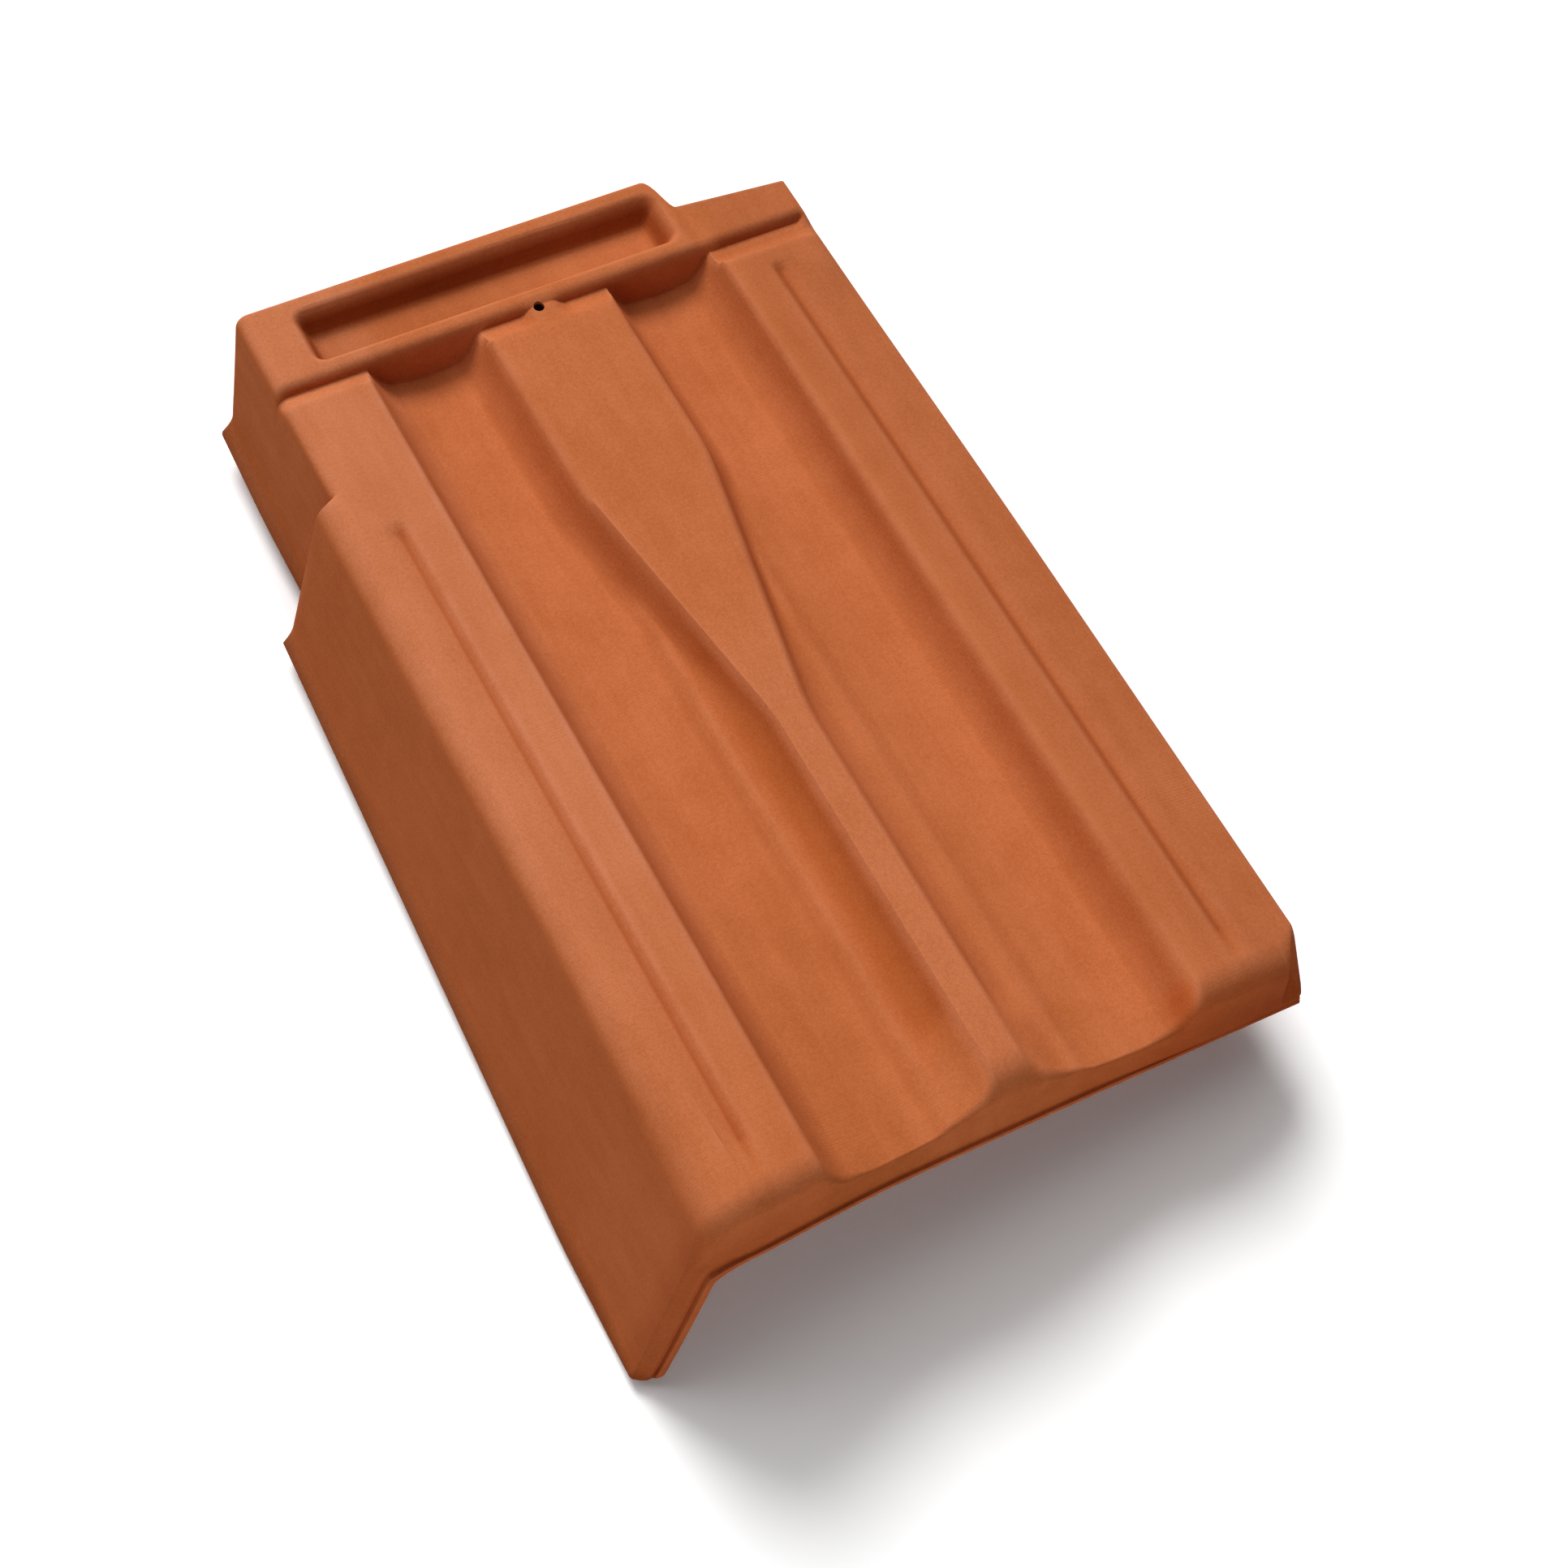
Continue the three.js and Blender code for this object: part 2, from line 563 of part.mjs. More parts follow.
function buildTile() {
  const nose = noseRows();
  const sections = rowPlaces.map(sectionAt);
  const back = backRows();
  const outerRows = [...nose.outer.reverse(), ...sections.map((s) => s.outer), ...back.outer];
  const innerRows = [...nose.inner.reverse(), ...sections.map((s) => s.inner), ...back.inner];
  const across = outerRows[0].length;
  const rows = outerRows.length;
  const positions = [];
  for (const row of [...outerRows, ...innerRows]) {
    for (const p of row) positions.push(p.x, p.y, p.z);
  }
  const out = (row, col) => row * across + col;
  const inn = (row, col) => (rows + row) * across + col;
  const index = [];
  const quad = (a, b, c, d) => index.push(a, b, c, a, c, d);
  for (let row = 0; row < rows - 1; row += 1) {
    for (let col = 0; col < across - 1; col += 1) {
      quad(out(row, col), out(row, col + 1), out(row + 1, col + 1), out(row + 1, col));
      quad(inn(row, col), inn(row + 1, col), inn(row + 1, col + 1), inn(row, col + 1));
    }
    quad(out(row, 0), out(row + 1, 0), inn(row + 1, 0), inn(row, 0));
    const last = across - 1;
    quad(out(row, last), inn(row, last), inn(row + 1, last), out(row + 1, last));
  }
  for (let col = 0; col < across - 1; col += 1) {
    quad(out(0, col), inn(0, col), inn(0, col + 1), out(0, col + 1));
    const top = rows - 1;
    quad(out(top, col), out(top, col + 1), inn(top, col + 1), inn(top, col));
  }
  const geometry = new THREE.BufferGeometry();
  geometry.setAttribute('position', new THREE.Float32BufferAttribute(positions, 3));
  geometry.setIndex(index);
  return geometry;
}

function toSolid(geometry) {
  const bare = geometry.clone();
  bare.deleteAttribute('normal');
  bare.deleteAttribute('uv');
  const merged = mergeVertices(bare);
  return new wasm.Manifold(
    new wasm.Mesh({
      numProp: 3,
      vertProperties: merged.attributes.position.array,
      triVerts: merged.index.array,
    }),
  );
}

function toGeometry(solid) {
  const mesh = solid.getMesh();
  const geometry = new THREE.BufferGeometry();
  geometry.setAttribute('position', new THREE.BufferAttribute(mesh.vertProperties, 3));
  geometry.setIndex(new THREE.BufferAttribute(mesh.triVerts, 1));
  return geometry;
}

// Hook under the head that hangs the tile on its batten. Its front is the bearing face.
function battenNib(x) {
  const middle = headTop - pocketDepth - wall / 2; // middle of the clay under the pocket
  const root = -troughDepth - wall + nibSunk;
  const outline = new THREE.Shape();
  outline.moveTo(nibFront, -nibDepth);
  outline.lineTo(nibFront, root - nibRoot);
  outline.absarc(nibFront - nibRoot, root - nibRoot, nibRoot, 0, Math.PI / 2, false);
  outline.lineTo(nibFront - nibRoot, root + 3);
  outline.lineTo(headFront, middle);
  outline.lineTo(nibFront + nibFoot + nibDraft, middle);
  outline.lineTo(nibFront + nibFoot, -nibDepth);
  const geometry = new THREE.ExtrudeGeometry(outline, {
    depth: nibWidth,
    bevelEnabled: false,
    curveSegments: 5,
  });
  geometry.translate(0, 0, x - nibWidth / 2);
  // the outline's plane is the tile's YZ plane
  return geometry.applyMatrix4(new THREE.Matrix4().makeBasis(
    new THREE.Vector3(0, 1, 0),
    new THREE.Vector3(0, 0, 1),
    new THREE.Vector3(1, 0, 0),
  ));
}

// Land round the nail hole, level with the plate, where the valley is left out.
function nailGround() {
  const outline = new THREE.Shape();
  outline.moveTo(landLeft - landEase, valleyFront);
  outline.quadraticCurveTo(landLeft, valleyFront, landLeft, valleyFront + landEase);
  outline.lineTo(landLeft, beadFoot - landEase);
  outline.quadraticCurveTo(landLeft, beadFoot, landLeft - landEase, beadFoot);
  outline.lineTo(landLeft - landEase, headFront);
  outline.lineTo(landRight + landEase, headFront);
  outline.lineTo(landRight + landEase, beadFoot);
  outline.quadraticCurveTo(landRight, beadFoot, landRight, beadFoot - landEase);
  outline.lineTo(landRight, valleyFront + landEase);
  outline.quadraticCurveTo(landRight, valleyFront, landRight + landEase, valleyFront);
  const geometry = new THREE.ExtrudeGeometry(outline, {
    depth: landDepth,
    bevelEnabled: false,
    curveSegments: 4,
  });
  return geometry.translate(0, 0, landTop - landDepth);
}

function nailHole() {
  const geometry = new THREE.CylinderGeometry(nailDiameter / 2, nailDiameter / 2, 4 * wall, 24);
  geometry.rotateX(Math.PI / 2);
  geometry.translate(nailX, nailY, -wall);
  return geometry;
}

// Centre of mass of a closed mesh of even density.
function massCentre(geometry) {
  const p = geometry.attributes.position;
  const index = geometry.index;
  const corner = [new THREE.Vector3(), new THREE.Vector3(), new THREE.Vector3()];
  const sum = new THREE.Vector3();
  let volume = 0;
  for (let i = 0; i < index.count; i += 3) {
    corner.forEach((c, k) => c.fromBufferAttribute(p, index.getX(i + k)));
    const part = corner[0].dot(corner[1].clone().cross(corner[2])) / 6;
    volume += part;
    corner.forEach((c) => sum.addScaledVector(c, part / 4));
  }
  return sum.divideScalar(volume);
}

// Turn that lays the tile on the side of its hull that carries its weight.
function restingTurn(geometry) {
  const centre = massCentre(geometry);
  const p = geometry.attributes.position;
  const points = Array.from({ length: p.count }, (_, i) => new THREE.Vector3().fromBufferAttribute(p, i));
  const down = new THREE.Vector3(0, 0, -1);
  let best = null;
  for (const face of new ConvexHull().setFromPoints(points).faces) {
    const foot = centre.clone().addScaledVector(face.normal, face.constant - face.normal.dot(centre));
    const corners = [0, 1, 2].map((k) => face.getEdge(k).head().point);
    const carries = corners.every((c, k) => {
      const next = corners[(k + 1) % 3];
      return next.clone().sub(c).cross(foot.clone().sub(c)).dot(face.normal) > 0;
    });
    if (carries && (!best || face.normal.dot(down) > best.dot(down))) best = face.normal;
  }
  return new THREE.Quaternion().setFromUnitVectors(best, down);
}

const solid = [battenNib(-nibX), battenNib(nibX), nailGround()]
  .reduce((body, piece) => body.add(toSolid(piece)), toSolid(buildTile()))
  .subtract(toSolid(nailHole()));
const geometry = toGeometry(solid);
geometry.applyQuaternion(restingTurn(geometry));
geometry.computeBoundingBox();
const box = geometry.boundingBox;
geometry.translate(-(box.min.x + box.max.x) / 2, -(box.min.y + box.max.y) / 2, -box.min.z);

const clay = new THREE.MeshStandardMaterial({ color: 0xc46c42, roughness: 0.85, metalness: 0 });
const tile = new THREE.Mesh(geometry, clay);
tile.name = 'verge_tile';
const group = new THREE.Group();
group.add(tile);
export default group;
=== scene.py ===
"""Looks of a left-hand clay verge tile: its pressed surface, its fired clay, the floor, light and camera.

The tile is shaped in millimetres in its own frame: X to the right, Y from the nose up to the head, Z
square to the flat tops, with the centre of the rib's nose end at the origin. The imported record's mounts
say how that frame lies in the row's frame, where the tile rests on the level floor.
"""

import json
import math

import bpy
import numpy as np
from mathutils import Matrix, Vector


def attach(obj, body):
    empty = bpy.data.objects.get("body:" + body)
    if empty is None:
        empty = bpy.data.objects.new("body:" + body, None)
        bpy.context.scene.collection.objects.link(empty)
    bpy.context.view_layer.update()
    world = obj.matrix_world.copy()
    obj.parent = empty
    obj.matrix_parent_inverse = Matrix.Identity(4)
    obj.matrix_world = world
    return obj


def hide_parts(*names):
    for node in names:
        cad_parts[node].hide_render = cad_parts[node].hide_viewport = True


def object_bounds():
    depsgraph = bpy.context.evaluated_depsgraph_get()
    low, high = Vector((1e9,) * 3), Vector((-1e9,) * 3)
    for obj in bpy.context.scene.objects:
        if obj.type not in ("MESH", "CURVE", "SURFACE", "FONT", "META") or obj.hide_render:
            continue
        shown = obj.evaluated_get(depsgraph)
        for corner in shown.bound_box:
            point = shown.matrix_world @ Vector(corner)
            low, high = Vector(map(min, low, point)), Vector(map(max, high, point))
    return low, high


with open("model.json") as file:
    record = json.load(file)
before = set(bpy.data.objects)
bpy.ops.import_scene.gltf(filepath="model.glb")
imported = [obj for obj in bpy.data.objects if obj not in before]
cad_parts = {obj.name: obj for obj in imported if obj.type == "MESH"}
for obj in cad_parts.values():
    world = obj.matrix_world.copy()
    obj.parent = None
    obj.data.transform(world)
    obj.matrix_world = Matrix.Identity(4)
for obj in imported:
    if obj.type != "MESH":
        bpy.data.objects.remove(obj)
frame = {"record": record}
cad_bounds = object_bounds()

MM = 0.001

# ---- Sizes of the tile ----
# They follow the part's source and refine it, so the two differ in places.
HEAD_BACK = 436.3
LEFT_CORNER = 123
RIGHT_CORNER = 129
RIGHT_CORNER_HEAD = 127.4
RIGHT_CORNER_LEDGE = 124.8
NARROW_START = 200  # the deck narrows from here on
NARROW_RUN = 200
BACK_SKEW = 0.014
WALL = 11.5
NOSE_DEPTH = 38.2
NOSE_ARCH = 1.5

FLAP_DEPTH = 124
FLAP_RISE = 0.1155
FLAP_LEAN = math.radians(10.5)
FLAP_SHOULDER = 12
FLAP_SHOULDER_NOSE = 20
SWELL_END = 110  # the shoulder grows towards the nose from here
SWELL_RUN = 95
LIP_OUT = 3.15
LIP_OUT_NOSE = 1.4
LIP_OUT_SETBACK = 4.6
LIP_FADE_START = 10
LIP_GROWTH = 60  # length over which the lip reaches its next size
LIP_THICK = 1.6
LIP_FLARE = 9

SETBACK_START = 336
SETBACK_RUN = 2
INSIDE_LEAD = 20  # the inner face makes the same step this much nearer the nose
INSIDE_RUN = 14
SETBACK_CORNER = 117
SETBACK_LEAN = math.radians(4.8)
SETBACK_SHOULDER = 5.5
SETBACK_RISE = 5.5

ROLL_RADIUS = 12
ROLL_RADIUS_LEDGE = 3
ROLL_TIGHTEN = 8
OUTER_START = 102.5  # outside this line the right band falls towards the roll
OUTER_SLOPE = 0.23
OUTER_FILLET = 1.5
OUTER_LOWEST = -20
OUTER_END = 376
OUTER_FADE = 30
SKIRT_LEAN = math.radians(1)
SKIRT_DEPTH = 33

BAND_EDGE = 80.8
BAND_FOOT = 65
TROUGH_DEPTH = 18
TROUGH_CENTRE = 50
TROUGH_DISH = 1.6
GROOVE_AT = 99.8
GROOVE_RISE = 4
GROOVE_FALL = 11
GROOVE_DEPTH = 2.8
GROOVE_NOSE_END = 11
GROOVE_FADE = 10
GROOVE_HOOK = 5
GROOVE_LEFT_HEAD = 316
GROOVE_RIGHT_HEAD = 377

RIB_HALF = 6.9
RIB_HALF_RIGHT = 5.3
PLATE_HALF = 26.5
TAPER_START = 168
TAPER_LENGTH = 140
RIB_RUN = 13
RIDGE_AT = 24.4
RIDGE_DROP = 12
RIDGE_RUN = 9.5
RIDGE_RUN_RIGHT = 13
RIDGE_FILLET = 1.6
SCOOP_HOLLOW = 2.3
SCOOP_HOLLOW_NOSE = 1.35
SCOOP_END = 36
SCOOP_FADE = 20

VALLEY_FRONT = 383.5
VALLEY_RUN = 8
VALLEY_DEPTH = 3.4
VALLEY_DEPTH_LEDGE = 5.2
HEAD_FRONT = 398.2
LEDGE_FRONT_STEP = 1.3
LEDGE_SIDE = 70  # valley and head rib change to the ledge's shape right of here
LEDGE_SIDE_RUN = 15
LEVEL_FADE = 25  # depth at which they have died away down the tile's edges
HEAD_SLOPE = 8
BEAD_RADIUS = 4.5
HEAD_FILLET = 3.5
UNDER_RUN = 8
HEAD_TOP = 1.5
LEDGE_TOP = -0.5
LEDGE_BACK = 418.7
LEDGE_SKEW = -0.09
LEDGE_MIDDLE = 100
BLOCK_END = 72.6
BLOCK_END_EASE = 3.4
BLOCK_CORNER = 66.4
BLOCK_CORNER_RUN = 8
POCKET_LEFT = -97.5
POCKET_RIGHT = 69.3
POCKET_FRONT = 400
POCKET_BACK = 430.5
POCKET_DEPTH = 12
POCKET_RUN = 9
POCKET_CORNER = 7
BACK_ROUND = 2
BACK_ROUND_FLAP = 1.5

NOSE_RUN_LEFT = 13.7
NOSE_RUN_RIB = 16.5
NOSE_RUN_RIGHT = 13.2
NOSE_RUN_TROUGH = 3
NOSE_RUN_FLAP = 7.5
NOSE_RUN_CORNER = 25
NOSE_RUN_FOOT = 3
NOSE_STEP_RUN = 9  # the front face stands back over this width beside rib and bands
NOSE_STEP_SHARE = 0.72  # share of the way; the rest is a sweep over the trough's wall
NOSE_STEP_RIB = 5  # distances from the rib's centre at which that starts
NOSE_STEP_BAND = 82
NOSE_SWEEP_RIB = 20
NOSE_SWEEP_BAND = 15
NOSE_CORNER_START = 108
NOSE_RADIUS = 20
NOSE_CORNER_RADIUS = 5
NOSE_FILLET = 5
NOSE_FILLET_RIGHT = 1
NOSE_FILLET_OUT = 0.15  # how far the fillet reaches out, as a share of its height
NOSE_LIP_LEAST = 0.3
NOSE_LIP_OUT = 1.1
NOSE_LIP_END = 95
NOSE_LIP_FADE = 65
NOSE_LIP_THICK = 2.4
FLAP_LIP_THICK = 5
FLAP_LIP_OUT = 2
NOSE_FRONT = -0.5
NOSE_BOW = 3
NOSE_BOW_START = 40
NOSE_THICK = 10
NOSE_CORNER_Z = -46  # below this level the flap's front edge runs straight down
SKIRT_INSET = 1
FLAP_END_THIN = 1.8
TIP_ROUND = 6

NAIL_X = -1.8
NAIL_Y = 392.5
NAIL_DIAMETER = 4.6
NAIL_SIDES = 32
LAND_LEFT = 5
LAND_RIGHT = 9
LAND_EASE = 6
NIB_X = 50
NIB_WIDTH = 30
NIB_FRONT = 392
NIB_ROOT = 6
NIB_SUNK = 2.1
NIB_FOOT = 13
NIB_DRAFT = 5
NIB_DEPTH = 46
NIB_OVERLAP = 3  # it reaches this far further into the clay, above its fillet
NIB_ROOT_PARTS = 10

BAND_MOUNT = (-90, 200, 0)  # place of the record's mount left_band_top

# ---- Lines and rows of the skin ----
FLARE_LINES = 7
FLAP_LINES = 33
CORNER_LINES = 15
SHOULDER_LINES = 14
DECK_LINES = [13, 9, 5, 5, 9, 9, 12, 8, 4, 3]  # between the neighbours of deck_places
EDGE_LINES = 6  # from there to the shoulder, and to the roll
ROLL_LINES = 14
SKIRT_LINES = 10
# the lip's rounded edge: heights above its foot, and how far each point stays inside its full width
LIP_ROUND_UP = np.array([0, 0.3, 1, LIP_THICK])
LIP_ROUND_IN = np.array([1.1, 0.35, 0.05, 0.1])

NEAREST = 25  # the nose's rows start from the section here
BEAD_FOOT = HEAD_FRONT - BEAD_RADIUS
ROW_PLACES = np.array([
    NEAREST,
    60,
    SETBACK_START,
    SETBACK_START + SETBACK_RUN,
    VALLEY_FRONT,
    BEAD_FOOT - 3.5,
    BEAD_FOOT + 1.5,
    HEAD_FRONT + 2,
    HEAD_BACK - BACK_ROUND,
])
ROW_COUNTS = [20, 104, 2, 22, 9, 14, 7, 28]
BACK_ROWS = 6
NOSE_ROUND_ROWS = 16
NOSE_FRONT_ROWS = 8
NOSE_FILLET_ROWS = 6
# rows over the nose's lip: share of the lip's height above the lower edge, and distance behind its front
NOSE_LIP_ROWS = [(1, 0.3), (0.9, 0.08), (0.6, 0), (0.25, 0), (0.1, 0.05), (0, 0.4)]

CREASE = math.radians(40)  # edges sharper than this are shaded as edges
CUT_FACE = 0.993  # faces that look backward more than this belong to the flat, cut rear face

# ---- Camera, in the tile's frame ----
CAMERA_AT = (-384.035, -340.860, 954.028)
CAMERA_RIGHT = (0.87869, -0.46727, 0.09779)
CAMERA_DOWN = (-0.35150, -0.77186, -0.52979)
CAMERA_FORWARD = (0.32303, 0.43115, -0.84247)
PHOTO_SIDE = 1932
FOCAL_PIXELS = 3750
SENSOR = 36
FAR_CLIP = 20


def mix(a, b, t):
    return a + (b - a) * t


def clamp01(t):
    return np.clip(t, 0.0, 1.0)


def ease(t):
    s = clamp01(t)
    return s * s * (3 - 2 * s)


def ramp(t, foot=0.5, crest=0.2):
    """Straight ramp from 0 to 1 with a fillet at its foot and a tighter round at its crest."""
    s = clamp01(t)
    slope = 1 / (1 - (foot + crest) / 2)
    straight = slope * (s - foot / 2)
    rising = slope * s * s / (2 * foot)
    topping = 1 - slope * (1 - s) ** 2 / (2 * crest)
    return np.where(s < foot, rising, np.where(s > 1 - crest, topping, straight))


def blend_max(a, b, fillet):
    h = np.maximum(0, fillet - np.abs(a - b)) / fillet
    return np.maximum(a, b) + h * h * fillet / 4


def blend_min(a, b, fillet):
    return -blend_max(-a, -b, fillet)


# ---- Levels of the deck ----


def rib_half_at(y, narrow=RIB_HALF):
    t = (y - TAPER_START) / TAPER_LENGTH
    return mix(narrow, PLATE_HALF, ramp(t, foot=0.12, crest=0.1))


def ribbing(x, y, shift):
    """Troughs, bands, rib and plate. Shift moves the walls towards the clay, for the underside."""
    across = np.abs(x)
    left = x < 0
    dish = ((across - TROUGH_CENTRE) / (BAND_FOOT - TROUGH_CENTRE)) ** 2
    floor = -TROUGH_DEPTH + TROUGH_DISH * np.minimum(1, dish)
    # the bands' slopes are round at the foot, more so on the left; both sides are alike at the head
    up_tile = clamp01(y / HEAD_BACK)
    foot = mix(np.where(left, 0.75, 0.5), 0.88, up_tile)
    crest = mix(np.where(left, 0.12, 0.35), 0.1, up_tile)
    band_rise = ramp((across - BAND_FOOT - shift) / (BAND_EDGE - BAND_FOOT), foot, crest)
    band = mix(floor, 0, band_rise)
    half = rib_half_at(y, np.where(x > 0, RIB_HALF_RIGHT, RIB_HALF)) - shift
    plate_share = ease((half + shift - RIB_HALF) / (PLATE_HALF - RIB_HALF)) if shift > 0 else 1.0
    rib_top = mix(-RIDGE_DROP, 0, plate_share)
    rib_rise = ramp((half + RIB_RUN - across) / RIB_RUN, 0.6, np.where(x > 0, 0.25, 0.1))
    rib = mix(floor, rib_top, rib_rise)
    # hollow scoop between rib and foot ridge, which runs out into a plainer slope before the nose
    out = clamp01((across - half) / np.maximum(RIDGE_AT - half, 1))
    hollow = mix(SCOOP_HOLLOW_NOSE, SCOOP_HOLLOW, ease((y - SCOOP_END) / SCOOP_FADE + 0.5))
    ridge_top = -RIDGE_DROP * (1.0 if shift > 0 else 1 - (1 - out) ** hollow)
    ridge_run = np.where(x > 0, RIDGE_RUN_RIGHT, RIDGE_RUN)
    ridge_rise = ramp((RIDGE_AT - shift + ridge_run - across) / ridge_run, foot=0.55, crest=0.3)
    ridge = mix(floor, ridge_top, ridge_rise)
    return np.where(across > TROUGH_CENTRE, band, blend_max(rib, ridge, RIDGE_FILLET))


def groove(x, y):
    """Groove between the inner and the outer band, on both sides."""
    head_end = np.where(x < 0, GROOVE_LEFT_HEAD, GROOVE_RIGHT_HEAD)
    along = ease((y - GROOVE_NOSE_END) / GROOVE_FADE) * ease((head_end - y) / GROOVE_HOOK)
    out = np.abs(x) - GROOVE_AT
    across = np.where(out < 0, ease(1 + out / GROOVE_RISE), (1 - clamp01(out / GROOVE_FALL)) ** 2)
    return -GROOVE_DEPTH * along * across


def pocket_inset(x, y):
    """How deep a point lies inside the pocket's outline, which has rounded corners."""
    half_x = (POCKET_RIGHT - POCKET_LEFT) / 2
    half_y = (POCKET_BACK - POCKET_FRONT) / 2
    dx = np.abs(x - (POCKET_LEFT + POCKET_RIGHT) / 2) - (half_x - POCKET_CORNER)
    dy = np.abs(y - (POCKET_FRONT + POCKET_BACK) / 2) - (half_y - POCKET_CORNER)
    outside = np.hypot(np.maximum(dx, 0), np.maximum(dy, 0))
    return POCKET_CORNER - outside - np.minimum(np.maximum(dx, dy), 0)


def block_share(x):
    """1 on the head block and 0 on the ledge to its right."""
    return 1 - ease((x - BLOCK_END) / (2 * BLOCK_END_EASE) + 0.5)


def ledge_share(x):
    """From 0 to 1 where valley and head rib change to the ledge's shape."""
    return ease((x - LEDGE_SIDE) / LEDGE_SIDE_RUN)


def deck_before_head(deck, x, y):
    """Deck with the transverse valley in front of the head rib; it stops beside the nail hole."""
    beside = np.maximum(NAIL_X - LAND_LEFT - x, x - NAIL_X - LAND_RIGHT)
    land = ease(0.5 + beside / LAND_EASE)
    depth = mix(VALLEY_DEPTH, VALLEY_DEPTH_LEDGE, ledge_share(x))
    valley = -depth * ramp((y - VALLEY_FRONT) / VALLEY_RUN, foot=0.15, crest=0.6) * land
    return np.minimum(deck, valley)


def head(deck, x, y):
    """Deck, the round bead in front of the pocket, and the pocket behind it."""
    share = block_share(x)
    top = mix(LEDGE_TOP, HEAD_TOP, share)
    before = HEAD_FRONT + BACK_SKEW * x + LEDGE_FRONT_STEP * ledge_share(x) - y
    bead = BEAD_RADIUS - np.sqrt(BEAD_RADIUS**2 - np.clip(before, 0, BEAD_RADIUS) ** 2)
    wall_level = top - bead - HEAD_SLOPE * np.maximum(0, before - BEAD_RADIUS)
    ribbed = blend_max(deck_before_head(deck, x, y), wall_level, HEAD_FILLET)
    inset = pocket_inset(x, y - BACK_SKEW * x)
    pocket = POCKET_DEPTH * ramp(inset / POCKET_RUN, foot=0.3, crest=0.3)
    pocketed = np.minimum(ribbed, mix(ribbed, HEAD_TOP - pocket, share))
    return np.where(before > 0, ribbed, pocketed)


def top_level(x, y):
    deck = ribbing(x, y, 0) + groove(x, y)
    return np.where(y < VALLEY_FRONT, deck, head(deck, x, y))


def underside_level(x, y):
    """The underside follows the deck, then slopes to one level under the pocket."""
    deck = ribbing(x, y, WALL / 2)
    under = mix(LEDGE_TOP, HEAD_TOP - POCKET_DEPTH, block_share(x))
    past = ramp((y - HEAD_FRONT + UNDER_RUN) / UNDER_RUN, foot=0.3, crest=0.3)
    sloped = mix(deck_before_head(deck, x, y), under, past)
    return np.where(y < VALLEY_FRONT, deck, sloped) - WALL


# ---- Sections ----
# A section is a row of points from the flap's lower edge, over the deck, to the skirt's. Each outer
# point has its outward normal in the section's plane and its partner on the inner face.


def back_at(x):
    """Back edge of the tile: of the head block, and of the ledge to its right."""
    step = ramp((x - BLOCK_CORNER) / BLOCK_CORNER_RUN, foot=0.6, crest=0.4)
    return mix(HEAD_BACK + BACK_SKEW * x, LEDGE_BACK + LEDGE_SKEW * (x - LEDGE_MIDDLE), step)


def between(start, end, count):
    """Places between start and end, without the two."""
    return np.linspace(start, end, count + 2)[1:-1]


def onward(start, end, count):
    """Places from start to end, without the first."""
    return np.linspace(start, end, count + 1)[1:]


def subdivide(places, counts):
    """All the places, with each gap divided into as many equal parts as its count says."""
    points = [np.linspace(a, b, n, endpoint=False) for a, b, n in zip(places, places[1:], counts)]
    return np.concatenate([*points, places[-1:]])


def deck_places(y):
    """Places to the right of the rib's centre where the deck's form changes."""
    half = rib_half_at(y)
    foot = half + RIB_RUN
    ridge = max(RIDGE_AT, foot + 0.5)
    ridge_foot = max(RIDGE_AT + RIDGE_RUN, ridge + 0.5)
    rib_and_ridge = [0, half, foot, ridge, ridge_foot]
    trough = [TROUGH_CENTRE, BAND_FOOT, BAND_EDGE]
    groove_lines = [GROOVE_AT - GROOVE_RISE, GROOVE_AT, GROOVE_AT + 4]
    return np.array([*rib_and_ridge, *trough, *groove_lines], float)


def left_edge(y, step_at, step_run):
    """Shape of the left edge: the flap, or the set-back beyond the step."""
    t = clamp01((y - step_at) / step_run)
    swell = ease((SWELL_END - y) / SWELL_RUN)
    radius = mix(mix(FLAP_SHOULDER, FLAP_SHOULDER_NOSE, swell), SETBACK_SHOULDER, t)
    corner = mix(LEFT_CORNER, SETBACK_CORNER, t)
    lean = mix(FLAP_LEAN, SETBACK_LEAN, t)
    start = corner - radius * math.tan((math.pi / 2 - lean) / 2)
    bottom = -FLAP_DEPTH + FLAP_RISE * y + SETBACK_RISE * t
    return {"corner": corner, "lean": lean, "radius": radius, "start": start, "bottom": bottom}


def face_x(edge, z):
    return -edge["corner"] + z * math.tan(edge["lean"])


def lip_width(y):
    lip = mix(LIP_OUT_NOSE, LIP_OUT, float(ease((y - LIP_FADE_START) / LIP_GROWTH)))
    return mix(lip, LIP_OUT_SETBACK, float(ease((y - SETBACK_START) / LIP_GROWTH)))


def right_edge(y):
    """Shape of the right edge, where the cover roll turns down to the skirt."""
    narrow = float(ease((y - NARROW_START) / NARROW_RUN))
    on_ledge = float(ease((y - HEAD_FRONT + ROLL_TIGHTEN) / ROLL_TIGHTEN))
    corner = mix(mix(RIGHT_CORNER, RIGHT_CORNER_HEAD, narrow), RIGHT_CORNER_LEDGE, on_ledge)
    radius = mix(ROLL_RADIUS, ROLL_RADIUS_LEDGE, on_ledge)
    start = corner - radius * math.tan((math.pi / 2 - SKIRT_LEAN) / 2)
    return {"corner": corner, "radius": radius, "start": start}


